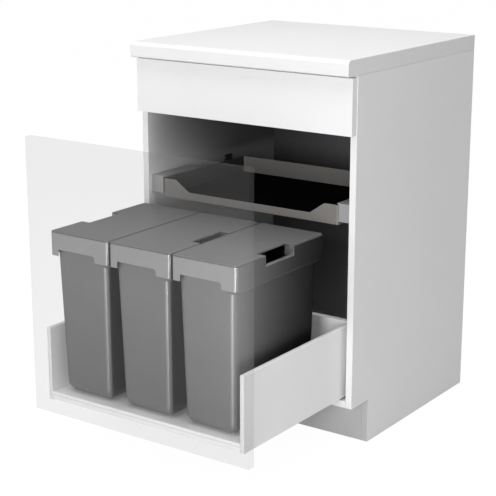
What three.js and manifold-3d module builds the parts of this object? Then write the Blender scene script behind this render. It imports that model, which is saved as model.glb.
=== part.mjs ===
// A floor-standing kitchen base unit, 600 mm wide, with one deep pull-out drawer that carries three waste bins
// side by side, and a shallow tray on its own slides above them. The drawer is drawn pulled out, as at rest.
// Millimetres, +Z up. X = 0 is the unit's middle plane and Z = 0 the floor. While it is worked out, Y = 0 is the
// front edge of the carcass and +Y runs into it; at the end the whole group moves along Y, so that the origin
// lies under the centre of the part's own bounding box.
import * as THREE from "three";
import { mergeVertices } from "three/addons/utils/BufferGeometryUtils.js";
import Module from "manifold-3d";

const wasm = await Module();
wasm.setup();

// ---------------------------------------------------------------- driving dimensions
const SEAT_GAP = 0.3; // between two faces that touch on the real unit
const RUN_GAP = 0.5; // between two sliding faces

// Carcass
const UNIT_WIDTH = 600;
const CARCASS_DEPTH = 555;
const CARCASS_HEIGHT = 870;
const BOARD = 16; // sides, bottom, rails and plinth
const BACK_BOARD = 8;
const BACK_RECESS = 7; // from the rear edge of the sides to the back board
const PLINTH_HEIGHT = 105;
const PLINTH_SETBACK = 75;
const TOP_RAIL_DEPTH = 100;

// Worktop
const WORKTOP_THICKNESS = 36;
const WORKTOP_OVERHANG = 40;
const NOSING_TOP_RADIUS = 9;
const NOSING_BOTTOM_RADIUS = 4;

// Fronts
const FRONT_THICKNESS = 19;
const FRONT_REVEAL = 1.5; // at each side of a front
const FRONT_JOINT = 3; // between the fascia and the drawer front
const FASCIA_HEIGHT = 126.5;
const FASCIA_TOP_JOINT = 4; // shadow line under the worktop
const FASCIA_STANDOFF = 0.5; // from the carcass edge to the back of a closed front
const DRAWER_FRONT_DROP = 1; // below the underside of the bottom panel
const FASCIA_BLOCK_SIZE = 24;
const FASCIA_BLOCK_HEIGHT = 60;
const FASCIA_BLOCK_DROP = 20; // below the front top rail

// Worktop screws
const SCREW_HEAD_RADIUS = 5;
const SCREW_HEAD_HEIGHT = 2.5;
const SCREW_SHANK_RADIUS = 2;
const SCREW_BITE = 18; // into the worktop
const SCREW_INSET = 90; // from the inside of a side panel
const SCREW_CLEARANCE = 0.3;
const SCREW_SIDES = 12;

// Drawer box
const DRAWER_OPENING = 385; // how far the drawer stands out at rest
const DRAWER_REAR_SPACE = 100; // from the closed box to the back board
const DRAWER_SIDE_GAP = 11; // from a side panel to the drawer's side
const DRAWER_SIDE_THICKNESS = 10;
const DRAWER_SIDE_RISE = 5; // above the bottom panel
const DRAWER_SIDE_HEIGHT = 173;
const DRAWER_SHEET = 1.5;
const DRAWER_FLOOR_RECESS = 13; // under the floor, for the runners
const DRAWER_FLOOR = 8;
const FLOOR_STRIP_HEIGHT = 10; // strip that thickens the floor's front edge
const FLOOR_STRIP_DEPTH = 10;
const DRAWER_BACK = 16;

// Drawer runners, under the floor
const RUNNER_SHEET = 1.5;
const RUNNER_START = 12; // behind the carcass edge
const RUNNER_OVERRUN = 10; // past the rear of the closed box
const RUNNER_OUTER_WIDTH = 26;
const RUNNER_FLANGE_HEIGHT = 43;
const RUNNER_BASE_RISE = 1.5; // above the bottom panel
const RUNNER_WALL_HEIGHT = 9;
const RUNNER_INSET = 1.2; // from the drawer side's inner face
const RUNNER_REAR_SHORTFALL = 9; // the drawer's own rail ends short of the box

// Bins
const BIN_HANDS = ["left", "middle", "right"];
const BIN_GAP = 2; // between two collars
const BIN_SIDE_GAP = 8.25; // from the outer collars to the drawer's sides
const BIN_REAR_SPACE = 94.5; // from the collars to the drawer's back
const BIN_HEIGHT = 376;
const BIN_FRONT_GAP = 1.5; // from the drawer front to the collars
const BIN_WALL = 2.5;
const BIN_CORNER_RADIUS = 7; // of the collar
const BODY_CORNER_RADIUS = 16;
const BODY_BASE_RADIUS = 28; // bottom edge
const BODY_INSET_SIDE = 10.3; // of the body's top, from the collar
const BODY_INSET_FRONT = 8.7;
const BODY_TAPER_SIDE = 6; // more at the bottom
const BODY_TAPER_FRONT = 8.5;
const COLLAR_HEIGHT = 52;
const ARCH_START = 23; // raised lower edge of the collar, from its left side
const ARCH_END = 39.5; // from its right side
const ARCH_RISE = 15;
const ARCH_RADIUS = 7;
const NOTCH_WIDTH = 25; // grip notch at one long side
const NOTCH_LENGTH = 106;
const NOTCH_DEPTH = 24; // below the lid's top
const NOTCH_FROM_FRONT = 104; // from the collar's front to the notch

// Lids
const LID_THICKNESS = 3.2;
const LID_RIM_DEPTH = 8; // locating rim that hangs into the bin
const LID_RIM_WALL = 2;
const LID_RIM_CLEARANCE = 1.2;

// Tray
const TRAY_SIDE_GAP = 35; // from a side panel to the tray
const TRAY_FRONT = 12; // behind the carcass edge
const TRAY_DEPTH = 336;
const TRAY_CLEARANCE = 2.7; // over the lids
const TRAY_HEIGHT = 46;
const TRAY_WALL = 3;
const TRAY_CORNER_RADIUS = 6;
const DIP_TOP_INSET = 38; // from the tray's side to the dip in its front wall
const DIP_FLOOR_INSET = 77;
const DIP_DEPTH = 27;
const DIP_RADIUS = 14;
const MAT_THICKNESS = 2.5;
const MAT_MARGIN = 2;

// Tray slides and their brackets
const BRACKET_LENGTH = 130;
const BRACKET_HEIGHT = 42;
const BRACKET_RISE = 4.5; // above the tray's edge
const BRACKET_SHEET = 2.5;
const BRACKET_LIP = 5; // of its top plate over the tray's edge
const REAR_BRACKET_LENGTH = 30;
const SLIDE_HEIGHT = 20; // of the fixed rail
const SLIDE_SHEET = 2;
const SLIDE_SHORTFALL = 7; // from the slide's rear end to the tray's
const SLIDE_CAP = 2.7; // end cap that closes the slide's front and travels with the tray
const SLIDE_MARGIN = 4; // from the bracket's lower plate to the fixed rail
const SLIDE_RAIL_WIDTH = 18;

// Segments of round shapes
const CORNER_STEPS = 6;
const EDGE_STEPS = 5;

// ---------------------------------------------------------------- worked out from them
const HALF_WIDTH = UNIT_WIDTH / 2;
const INNER_HALF = HALF_WIDTH - BOARD;
const BACK_Y = CARCASS_DEPTH - BACK_RECESS - BACK_BOARD; // front face of the back board
const BOTTOM_TOP = PLINTH_HEIGHT + BOARD;
const FRONT_HALF = HALF_WIDTH - FRONT_REVEAL;
const FASCIA_TOP = CARCASS_HEIGHT - FASCIA_TOP_JOINT;
const FASCIA_BOTTOM = FASCIA_TOP - FASCIA_HEIGHT;
const DRAWER_FRONT_TOP = FASCIA_BOTTOM - FRONT_JOINT;
const DRAWER_FRONT_BOTTOM = PLINTH_HEIGHT - DRAWER_FRONT_DROP;
const DRAWER_START = -DRAWER_OPENING - FASCIA_STANDOFF; // rear face of the drawer front
const DRAWER_BOX_DEPTH = BACK_Y - DRAWER_REAR_SPACE;
const DRAWER_END = DRAWER_START + DRAWER_BOX_DEPTH;
const DRAWER_SIDE_OUTER = INNER_HALF - DRAWER_SIDE_GAP;
const DRAWER_SIDE_INNER = DRAWER_SIDE_OUTER - DRAWER_SIDE_THICKNESS;
const DRAWER_SIDE_BOTTOM = BOTTOM_TOP + DRAWER_SIDE_RISE;
const DRAWER_FLOOR_BOTTOM = DRAWER_SIDE_BOTTOM + DRAWER_FLOOR_RECESS;
const DRAWER_FLOOR_TOP = DRAWER_FLOOR_BOTTOM + DRAWER_FLOOR;
const RUNNER_LENGTH = DRAWER_BOX_DEPTH - RUNNER_START + RUNNER_OVERRUN;
const BIN_COUNT = BIN_HANDS.length;
const BIN_ROOM = 2 * (DRAWER_SIDE_INNER - BIN_SIDE_GAP);
const BIN_WIDTH = (BIN_ROOM - (BIN_COUNT - 1) * BIN_GAP) / BIN_COUNT; // over the collar
const BIN_PITCH = BIN_WIDTH + BIN_GAP;
const BIN_FRONT = DRAWER_START + BIN_FRONT_GAP;
const BIN_DEPTH = DRAWER_END - DRAWER_BACK - BIN_REAR_SPACE - BIN_FRONT;
const BIN_CENTRE_Y = BIN_FRONT + BIN_DEPTH / 2;
const BIN_BOTTOM = DRAWER_FLOOR_TOP + SEAT_GAP;
const LID_BOTTOM = BIN_BOTTOM + BIN_HEIGHT + SEAT_GAP;
const NOTCH_HEIGHT = BIN_HEIGHT + SEAT_GAP + LID_THICKNESS - NOTCH_DEPTH; // ledge, above the bin's bottom
const NOTCH_Y = -BIN_DEPTH / 2 + NOTCH_FROM_FRONT;
const TRAY_HALF_WIDTH = INNER_HALF - TRAY_SIDE_GAP;
const TRAY_BOTTOM = LID_BOTTOM + LID_THICKNESS + TRAY_CLEARANCE;
const BRACKET_TOP = TRAY_BOTTOM + TRAY_HEIGHT + BRACKET_RISE;
const BRACKET_BOTTOM = BRACKET_TOP - BRACKET_HEIGHT;
const SLIDE_START = TRAY_FRONT + SLIDE_CAP + SEAT_GAP;
const SLIDE_LENGTH = TRAY_FRONT + TRAY_DEPTH - SLIDE_SHORTFALL - SLIDE_START;

// ---------------------------------------------------------------- materials
function finish(color, roughness, metalness = 0, opacity = 1) {
  return new THREE.MeshStandardMaterial({ color, roughness, metalness, opacity, transparent: opacity < 1 });
}
const whiteBoard = finish(0xf2f2f2, 0.45);
const worktopLaminate = finish(0xf4f4f3, 0.35);
const plinthBoard = finish(0xd9d9da, 0.5);
const darkBoard = finish(0x4a4b4d, 0.7);
const clearFront = finish(0xd8d8da, 0.25, 0, 0.35);
const whiteSteel = finish(0xececed, 0.4, 0.2);
const zincSteel = finish(0xb4b6b8, 0.35, 0.9);
const binPlastic = finish(0x8b8988, 0.5);
const lidPlastic = finish(0x858382, 0.5);
const trayPlastic = finish(0x77736f, 0.5);
const matRubber = finish(0x1b1b1c, 0.9);
const bracketGrey = finish(0xb9bbbc, 0.4, 0.4);

// ---------------------------------------------------------------- geometry helpers
const unit = new THREE.Group();

function place(name, geometry, material, x = 0, y = 0, z = 0) {
  const mesh = new THREE.Mesh(geometry, material);
  mesh.name = name;
  mesh.position.set(x, y, z);
  unit.add(mesh);
  return mesh;
}

// A box between two corners.
function block(x0, x1, y0, y1, z0, z1) {
  const g = new THREE.BoxGeometry(x1 - x0, y1 - y0, z1 - z0);
  return g.translate((x0 + x1) / 2, (y0 + y1) / 2, (z0 + z1) / 2);
}

// The same box on the right (side = 1) or mirrored to the left (side = -1).
function sideBlock(side, x0, x1, y0, y1, z0, z1) {
  return side > 0 ? block(x0, x1, y0, y1, z0, z1) : block(-x1, -x0, y0, y1, z0, z1);
}

function outline(points) {
  return new THREE.Shape(points.map(([a, b]) => new THREE.Vector2(a, b)));
}

function extrude(shape, length) {
  return new THREE.ExtrudeGeometry(shape, { depth: length, bevelEnabled: false, curveSegments: EDGE_STEPS });
}

// A (y, z) outline run along X from x0.
function alongX(shape, x0, length) {
  const turn = new THREE.Matrix4().set(0, 0, 1, x0, 1, 0, 0, 0, 0, 1, 0, 0, 0, 0, 0, 1);
  return extrude(shape, length).applyMatrix4(turn);
}

// An (x, z) outline run along Y from y0.
function alongY(shape, y0, length) {
  return extrude(shape, length).rotateX(Math.PI / 2).translate(0, y0 + length, 0);
}

// An (x, z) outline given for the right-hand side, mirrored for the left one.
function sideProfile(side, points, y0, length) {
  return alongY(outline(points.map(([x, z]) => [side * x, z])), y0, length);
}

// The outline of a rectangle with round corners, anticlockwise.
function roundedRectangle(halfX, halfY, radius) {
  const points = [];
  const corners = [
    [1, 1],
    [-1, 1],
    [-1, -1],
    [1, -1],
  ];
  corners.forEach(([sx, sy], quarter) => {
    for (let i = 0; i <= CORNER_STEPS; i++) {
      const a = ((quarter + i / CORNER_STEPS) * Math.PI) / 2;
      points.push([sx * (halfX - radius) + radius * Math.cos(a), sy * (halfY - radius) + radius * Math.sin(a)]);
    }
  });
  return points;
}

// A closed solid through level sections { z, halfX, halfY, radius }, lowest first.
function loft(sections) {
  const rings = sections.map((s) => roundedRectangle(s.halfX, s.halfY, s.radius));
  const count = rings[0].length;
  const vertices = rings.flatMap((ring, level) => ring.flatMap(([x, y]) => [x, y, sections[level].z]));
  const faces = [];
  for (let level = 0; level + 1 < rings.length; level++) {
    for (let i = 0; i < count; i++) {
      const a = level * count + i;
      const b = level * count + ((i + 1) % count);
      faces.push(a, b, b + count, a, b + count, a + count);
    }
  }
  const top = (rings.length - 1) * count;
  for (let i = 1; i + 1 < count; i++) {
    faces.push(0, i + 1, i, top, top + i, top + i + 1);
  }
  const g = new THREE.BufferGeometry();
  g.setAttribute("position", new THREE.Float32BufferAttribute(vertices, 3));
  g.setIndex(faces);
  return g;
}

function solid(geometry) {
  const bare = geometry.clone();
  bare.deleteAttribute("normal");
  bare.deleteAttribute("uv");
  const merged = mergeVertices(bare, 1e-4);
  return new wasm.Manifold(
    new wasm.Mesh({
      numProp: 3,
      vertProperties: merged.attributes.position.array,
      triVerts: new Uint32Array(merged.index.array),
    }),
  );
}

function geometryOf(manifold) {
  const mesh = manifold.getMesh();
  const g = new THREE.BufferGeometry();
  g.setAttribute("position", new THREE.BufferAttribute(mesh.vertProperties, 3));
  g.setIndex(new THREE.BufferAttribute(mesh.triVerts, 1));
  return g.toNonIndexed();
}

// The first geometries joined, less the second ones.
function build(added, removed = []) {
  const whole = added.map(solid).reduce((a, b) => a.add(b));
  return geometryOf(removed.map(solid).reduce((a, b) => a.subtract(b), whole));
}

function flatShaded(geometry) {
  const g = geometry.index ? geometry.toNonIndexed() : geometry;
  g.computeVertexNormals();
  return g;
}

const SIDES = [
  { side: -1, hand: "left" },
  { side: 1, hand: "right" },
];

// ---------------------------------------------------------------- carcass
function screwPlaces() {
  const railMiddles = [TOP_RAIL_DEPTH / 2, BACK_Y - SEAT_GAP - TOP_RAIL_DEPTH / 2];
  return railMiddles.flatMap((y, row) =>
    SIDES.map(({ side, hand }) => ({
      name: `worktop_screw_${row === 0 ? "front" : "rear"}_${hand}`,
      x: side * (INNER_HALF - SCREW_INSET),
      y,
    })),
  );
}

function screwHole(place, z0, z1) {
  const radius = SCREW_SHANK_RADIUS + SCREW_CLEARANCE;
  const g = new THREE.CylinderGeometry(radius, radius, z1 - z0, SCREW_SIDES);
  return g.rotateX(Math.PI / 2).translate(place.x, place.y, (z0 + z1) / 2);
}

function carcass() {
  const sideShape = outline([
    [0, PLINTH_HEIGHT],
    [PLINTH_SETBACK, PLINTH_HEIGHT],
    [PLINTH_SETBACK, 0],
    [CARCASS_DEPTH, 0],
    [CARCASS_DEPTH, CARCASS_HEIGHT],
    [0, CARCASS_HEIGHT],
  ]);
  for (const { side, hand } of SIDES) {
    const x0 = side > 0 ? INNER_HALF : -HALF_WIDTH;
    place(`side_panel_${hand}`, alongX(sideShape, x0, BOARD), whiteBoard);
  }
  const reach = INNER_HALF - SEAT_GAP;
  place("bottom_panel", block(-reach, reach, 0, BACK_Y - SEAT_GAP, PLINTH_HEIGHT, BOTTOM_TOP), whiteBoard);
  place("back_panel", block(-reach, reach, BACK_Y, BACK_Y + BACK_BOARD, PLINTH_HEIGHT, CARCASS_HEIGHT), darkBoard);
  const holes = screwPlaces().map((p) => screwHole(p, CARCASS_HEIGHT - 2 * BOARD, CARCASS_HEIGHT + BOARD));
  const railZ = CARCASS_HEIGHT - BOARD;
  const rearRailY = BACK_Y - SEAT_GAP - TOP_RAIL_DEPTH;
  const frontRail = block(-reach, reach, 0, TOP_RAIL_DEPTH, railZ, CARCASS_HEIGHT);
  const rearRail = block(-reach, reach, rearRailY, rearRailY + TOP_RAIL_DEPTH, railZ, CARCASS_HEIGHT);
  place("top_rail_front", build([frontRail], holes), whiteBoard);
  place("top_rail_rear", build([rearRail], holes), whiteBoard);
  place(
    "plinth_board",
    block(-reach, reach, PLINTH_SETBACK, PLINTH_SETBACK + BOARD, 0, PLINTH_HEIGHT - SEAT_GAP),
    plinthBoard,
  );
}

function worktop() {
  const front = -WORKTOP_OVERHANG;
  const z0 = CARCASS_HEIGHT + SEAT_GAP;
  const z1 = z0 + WORKTOP_THICKNESS;
  const edge = new THREE.Shape();
  edge.moveTo(CARCASS_DEPTH, z0);
  edge.lineTo(CARCASS_DEPTH, z1);
  edge.lineTo(front + NOSING_TOP_RADIUS, z1);
  edge.absarc(front + NOSING_TOP_RADIUS, z1 - NOSING_TOP_RADIUS, NOSING_TOP_RADIUS, Math.PI / 2, Math.PI, false);
  edge.lineTo(front, z0 + NOSING_BOTTOM_RADIUS);
  edge.absarc(
    front + NOSING_BOTTOM_RADIUS,
    z0 + NOSING_BOTTOM_RADIUS,
    NOSING_BOTTOM_RADIUS,
    Math.PI,
    1.5 * Math.PI,
    false,
  );
  const board = alongX(edge, -HALF_WIDTH, UNIT_WIDTH);
  const pilots = screwPlaces().map((p) => screwHole(p, z0 - BOARD, z0 + SCREW_BITE + SCREW_CLEARANCE));
  place("worktop", build([board], pilots), worktopLaminate);
}

function worktopScrews() {
  const headTop = CARCASS_HEIGHT - BOARD - SEAT_GAP;
  const profile = [
    [0, headTop - SCREW_HEAD_HEIGHT],
    [SCREW_HEAD_RADIUS, headTop - SCREW_HEAD_HEIGHT],
    [SCREW_HEAD_RADIUS, headTop],
    [SCREW_SHANK_RADIUS, headTop],
    [SCREW_SHANK_RADIUS, CARCASS_HEIGHT + SEAT_GAP + SCREW_BITE],
    [0, CARCASS_HEIGHT + SEAT_GAP + SCREW_BITE],
  ];
  for (const { name, x, y } of screwPlaces()) {
    const lathe = new THREE.LatheGeometry(
      profile.map(([r, z]) => new THREE.Vector2(r, z)),
      SCREW_SIDES,
    );
    place(name, lathe.rotateX(Math.PI / 2), zincSteel, x, y, 0);
  }
}

function fascia() {
  const rear = -FASCIA_STANDOFF;
  place(
    "fascia_panel",
    block(-FRONT_HALF, FRONT_HALF, rear - FRONT_THICKNESS, rear, FASCIA_BOTTOM, FASCIA_TOP),
    whiteBoard,
  );
  // A corner block in each upper corner screws the fascia to its side panel.
  const x1 = INNER_HALF - SEAT_GAP;
  const y0 = rear + SEAT_GAP;
  const z1 = CARCASS_HEIGHT - BOARD - FASCIA_BLOCK_DROP;
  for (const { side, hand } of SIDES) {
    place(
      `fascia_block_${hand}`,
      sideBlock(side, x1 - FASCIA_BLOCK_SIZE, x1, y0, y0 + FASCIA_BLOCK_SIZE, z1 - FASCIA_BLOCK_HEIGHT, z1),
      whiteBoard,
    );
  }
}

// ---------------------------------------------------------------- drawer
function drawerBox() {
  place(
    "drawer_front",
    block(
      -FRONT_HALF,
      FRONT_HALF,
      DRAWER_START - FRONT_THICKNESS,
      DRAWER_START,
      DRAWER_FRONT_BOTTOM,
      DRAWER_FRONT_TOP,
    ),
    clearFront,
  );
  const top = DRAWER_SIDE_BOTTOM + DRAWER_SIDE_HEIGHT;
  for (const { side, hand } of SIDES) {
    // Folded sheet, open along its lower edge.
    const fold = [
      [DRAWER_SIDE_INNER, DRAWER_SIDE_BOTTOM],
      [DRAWER_SIDE_INNER + DRAWER_SHEET, DRAWER_SIDE_BOTTOM],
      [DRAWER_SIDE_INNER + DRAWER_SHEET, top - DRAWER_SHEET],
      [DRAWER_SIDE_OUTER - DRAWER_SHEET, top - DRAWER_SHEET],
      [DRAWER_SIDE_OUTER - DRAWER_SHEET, DRAWER_SIDE_BOTTOM],
      [DRAWER_SIDE_OUTER, DRAWER_SIDE_BOTTOM],
      [DRAWER_SIDE_OUTER, top],
      [DRAWER_SIDE_INNER, top],
    ];
    place(`drawer_side_${hand}`, sideProfile(side, fold, DRAWER_START, DRAWER_BOX_DEPTH), whiteSteel);
  }
  const reach = DRAWER_SIDE_INNER - SEAT_GAP;
  place(
    "drawer_floor",
    block(-reach, reach, DRAWER_START, DRAWER_END, DRAWER_FLOOR_BOTTOM, DRAWER_FLOOR_TOP),
    whiteBoard,
  );
  const stripTop = DRAWER_FLOOR_BOTTOM - SEAT_GAP;
  place(
    "drawer_floor_strip",
    block(-reach, reach, DRAWER_START, DRAWER_START + FLOOR_STRIP_DEPTH, stripTop - FLOOR_STRIP_HEIGHT, stripTop),
    whiteBoard,
  );
  place(
    "drawer_back",
    block(-reach, reach, DRAWER_END - DRAWER_BACK, DRAWER_END, DRAWER_FLOOR_TOP + SEAT_GAP, top),
    whiteBoard,
  );
}

function drawerRunners() {
  const xOut = DRAWER_SIDE_INNER - RUNNER_INSET;
  const xIn = xOut - RUNNER_OUTER_WIDTH;
  const base = BOTTOM_TOP + RUNNER_BASE_RISE;
  const wall = base + RUNNER_WALL_HEIGHT;
  const wallSide = INNER_HALF - SEAT_GAP;
  const fixed = [
    [xIn, base],
    [wallSide, base],
    [wallSide, base + RUNNER_FLANGE_HEIGHT],
    [wallSide - RUNNER_SHEET, base + RUNNER_FLANGE_HEIGHT],
    [wallSide - RUNNER_SHEET, base + RUNNER_SHEET],
    [xOut, base + RUNNER_SHEET],
    [xOut, wall],
    [xOut - RUNNER_SHEET, wall],
    [xOut - RUNNER_SHEET, base + RUNNER_SHEET],
    [xIn + RUNNER_SHEET, base + RUNNER_SHEET],
    [xIn + RUNNER_SHEET, wall],
    [xIn, wall],
  ];
  const step = RUNNER_SHEET + RUN_GAP;
  const middleIn = xIn + step;
  const middleOut = xOut - step;
  const middleBase = base + step;
  const middleTop = middleBase + RUNNER_WALL_HEIGHT;
  const middle = [
    [middleIn, middleBase],
    [middleOut, middleBase],
    [middleOut, middleTop],
    [middleOut - RUNNER_SHEET, middleTop],
    [middleOut - RUNNER_SHEET, middleBase + RUNNER_SHEET],
    [middleIn + RUNNER_SHEET, middleBase + RUNNER_SHEET],
    [middleIn + RUNNER_SHEET, middleTop],
    [middleIn, middleTop],
  ];
  const railIn = middleIn + step;
  const railOut = middleOut - step;
  const railLow = middleBase + step;
  const railTop = DRAWER_FLOOR_BOTTOM - SEAT_GAP;
  const plate = railTop - RUNNER_SHEET;
  const moving = [
    [railIn, railLow],
    [railIn + RUNNER_SHEET, railLow],
    [railIn + RUNNER_SHEET, plate],
    [railOut - RUNNER_SHEET, plate],
    [railOut - RUNNER_SHEET, railLow],
    [railOut, railLow],
    [railOut, plate],
    [xOut, plate],
    [xOut, railTop],
    [xIn, railTop],
    [xIn, plate],
    [railIn, plate],
  ];
  const railLength = DRAWER_BOX_DEPTH - RUNNER_START - RUNNER_REAR_SHORTFALL;
  for (const { side, hand } of SIDES) {
    place(`runner_cabinet_rail_${hand}`, sideProfile(side, fixed, RUNNER_START, RUNNER_LENGTH), zincSteel);
    const middleStart = RUNNER_START - DRAWER_OPENING / 2;
    place(`runner_middle_rail_${hand}`, sideProfile(side, middle, middleStart, RUNNER_LENGTH), zincSteel);
    const drawerRailStart = DRAWER_START + RUNNER_START;
    place(`runner_drawer_rail_${hand}`, sideProfile(side, moving, drawerRailStart, railLength), zincSteel);
  }
}

// ---------------------------------------------------------------- bins and lids
// Sections of the bin's body between its bottom and z1, moved in by the given amount.
function bodySections(inset, z1) {
  const taperStart = BODY_BASE_RADIUS;
  const taperEnd = BIN_HEIGHT - COLLAR_HEIGHT;
  const at = (z) => {
    const low = THREE.MathUtils.clamp((taperEnd - z) / (taperEnd - taperStart), 0, 1);
    return {
      halfX: BIN_WIDTH / 2 - BODY_INSET_SIDE - BODY_TAPER_SIDE * low - inset,
      halfY: BIN_DEPTH / 2 - BODY_INSET_FRONT - BODY_TAPER_FRONT * low - inset,
    };
  };
  const sections = [];
  for (let i = 0; i < EDGE_STEPS; i++) {
    const a = (i / EDGE_STEPS) * (Math.PI / 2);
    const pull = (BODY_BASE_RADIUS - inset) * (1 - Math.sin(a));
    const size = at(0);
    sections.push({
      z: inset + (BODY_BASE_RADIUS - inset) * (1 - Math.cos(a)),
      halfX: size.halfX - pull,
      halfY: size.halfY - pull,
      radius: Math.max(BODY_CORNER_RADIUS - inset - pull / 2, 1),
    });
  }
  for (const z of [BODY_BASE_RADIUS, taperEnd, z1]) {
    sections.push({ z, ...at(z), radius: BODY_CORNER_RADIUS - inset });
  }
  return sections;
}

function collarSections(inset, z0, z1) {
  return [z0, z1].map((z) => ({
    z,
    halfX: BIN_WIDTH / 2 - inset,
    halfY: BIN_DEPTH / 2 - inset,
    radius: BIN_CORNER_RADIUS - inset,
  }));
}

// The raised stretch of the collar's lower edge, as a cutter through one of its ends.
function archCutter(end) {
  const x0 = -BIN_WIDTH / 2 + ARCH_START;
  const x1 = BIN_WIDTH / 2 - ARCH_END;
  const z0 = BIN_HEIGHT - COLLAR_HEIGHT;
  const shape = new THREE.Shape();
  shape.moveTo(x0, z0 - BIN_WALL);
  shape.lineTo(x1, z0 - BIN_WALL);
  shape.lineTo(x1, z0 + ARCH_RISE - ARCH_RADIUS);
  shape.absarc(x1 - ARCH_RADIUS, z0 + ARCH_RISE - ARCH_RADIUS, ARCH_RADIUS, 0, Math.PI / 2, false);
  shape.lineTo(x0, z0 + ARCH_RISE);
  const cutDepth = 2 * BIN_WALL;
  const y0 = end * (BIN_DEPTH / 2) - cutDepth / 2;
  return alongY(shape, y0, cutDepth);
}

function binGeometry(notchSide) {
  const collarBottom = BIN_HEIGHT - COLLAR_HEIGHT;
  const outerX = BIN_WIDTH / 2;
  const notchIn = outerX - NOTCH_WIDTH;
  const y0 = NOTCH_Y;
  const y1 = NOTCH_Y + NOTCH_LENGTH;
  const body = solid(loft(bodySections(0, BIN_HEIGHT)));
  const collar = solid(loft(collarSections(0, collarBottom, BIN_HEIGHT)));
  const collarHollow = solid(loft(collarSections(BIN_WALL, collarBottom - BIN_WALL, BIN_HEIGHT - BIN_WALL)));
  const inside = solid(loft(bodySections(BIN_WALL, BIN_HEIGHT + BIN_WALL)));
  // The walls at the notch's ends and its ledge, cut to the collar's own outline.
  const notchWalls = build([
    sideBlock(notchSide, notchIn, outerX, y0 - BIN_WALL, y0, NOTCH_HEIGHT - BIN_WALL, BIN_HEIGHT),
    sideBlock(notchSide, notchIn, outerX, y1, y1 + BIN_WALL, NOTCH_HEIGHT - BIN_WALL, BIN_HEIGHT),
    sideBlock(notchSide, outerX - BODY_INSET_SIDE - BIN_WALL, outerX, y0, y1, NOTCH_HEIGHT - BIN_WALL, NOTCH_HEIGHT),
  ]);
  const notch = solid(
    sideBlock(notchSide, notchIn, outerX + BIN_WALL, y0, y1, NOTCH_HEIGHT, BIN_HEIGHT + BIN_WALL),
  );
  const arches = [-1, 1].map((end) => solid(archCutter(end)));
  const shell = collar.subtract(collarHollow).add(body).subtract(inside);
  const joined = shell.add(solid(notchWalls)).subtract(notch);
  return geometryOf(arches.reduce((whole, arch) => whole.subtract(arch), joined));
}

function lidGeometry(notchSide) {
  const outerX = BIN_WIDTH / 2;
  const notchIn = outerX - NOTCH_WIDTH;
  const y0 = NOTCH_Y;
  const y1 = NOTCH_Y + NOTCH_LENGTH;
  const plate = loft(collarSections(0, 0, LID_THICKNESS));
  const rimInset = BODY_INSET_SIDE + BIN_WALL + LID_RIM_CLEARANCE;
  const rimInsetY = BODY_INSET_FRONT + BIN_WALL + LID_RIM_CLEARANCE;
  const ring = (inset, z0, z1) =>
    loft(
      [z0, z1].map((z) => ({
        z,
        halfX: outerX - rimInset - inset,
        halfY: BIN_DEPTH / 2 - rimInsetY - inset,
        radius: BODY_CORNER_RADIUS - BIN_WALL - inset,
      })),
    );
  const rim = build([ring(0, -LID_RIM_DEPTH, LID_THICKNESS / 2)], [ring(LID_RIM_WALL, -2 * LID_RIM_DEPTH, 0)]);
  const notch = sideBlock(notchSide, notchIn, outerX + BIN_WALL, y0, y1, -LID_RIM_DEPTH, 2 * LID_THICKNESS);
  const clear = BIN_WALL + LID_RIM_CLEARANCE;
  const rimGap = sideBlock(
    notchSide,
    notchIn - LID_RIM_CLEARANCE,
    outerX,
    y0 - clear,
    y1 + clear,
    -2 * LID_RIM_DEPTH,
    0,
  );
  return build([plate, rim], [notch, rimGap]);
}

function bins() {
  BIN_HANDS.forEach((hand, i) => {
    const x = (i - (BIN_COUNT - 1) / 2) * BIN_PITCH;
    // The outer left bin is turned, so that its grip faces the drawer side.
    const notchSide = i === 0 ? -1 : 1;
    place(`bin_${hand}`, binGeometry(notchSide), binPlastic, x, BIN_CENTRE_Y, BIN_BOTTOM);
    place(`lid_${hand}`, lidGeometry(notchSide), lidPlastic, x, BIN_CENTRE_Y, LID_BOTTOM);
  });
}

// ---------------------------------------------------------------- tray
function dipShape() {
  const top = TRAY_HEIGHT + TRAY_WALL;
  const low = TRAY_HEIGHT - DIP_DEPTH;
  const slope = (DIP_FLOOR_INSET - DIP_TOP_INSET) / DIP_DEPTH;
  const topHalf = TRAY_HALF_WIDTH - DIP_TOP_INSET + TRAY_WALL * slope;
  const floorHalf = TRAY_HALF_WIDTH - DIP_FLOOR_INSET;
  const rise = DIP_RADIUS / Math.hypot(1, slope);
  const shape = new THREE.Shape();
  shape.moveTo(-topHalf, top);
  shape.lineTo(-floorHalf - rise * slope, low + rise);
  shape.quadraticCurveTo(-floorHalf, low, -floorHalf + DIP_RADIUS, low);
  shape.lineTo(floorHalf - DIP_RADIUS, low);
  shape.quadraticCurveTo(floorHalf, low, floorHalf + rise * slope, low + rise);
  shape.lineTo(topHalf, top);
  return shape;
}

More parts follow.
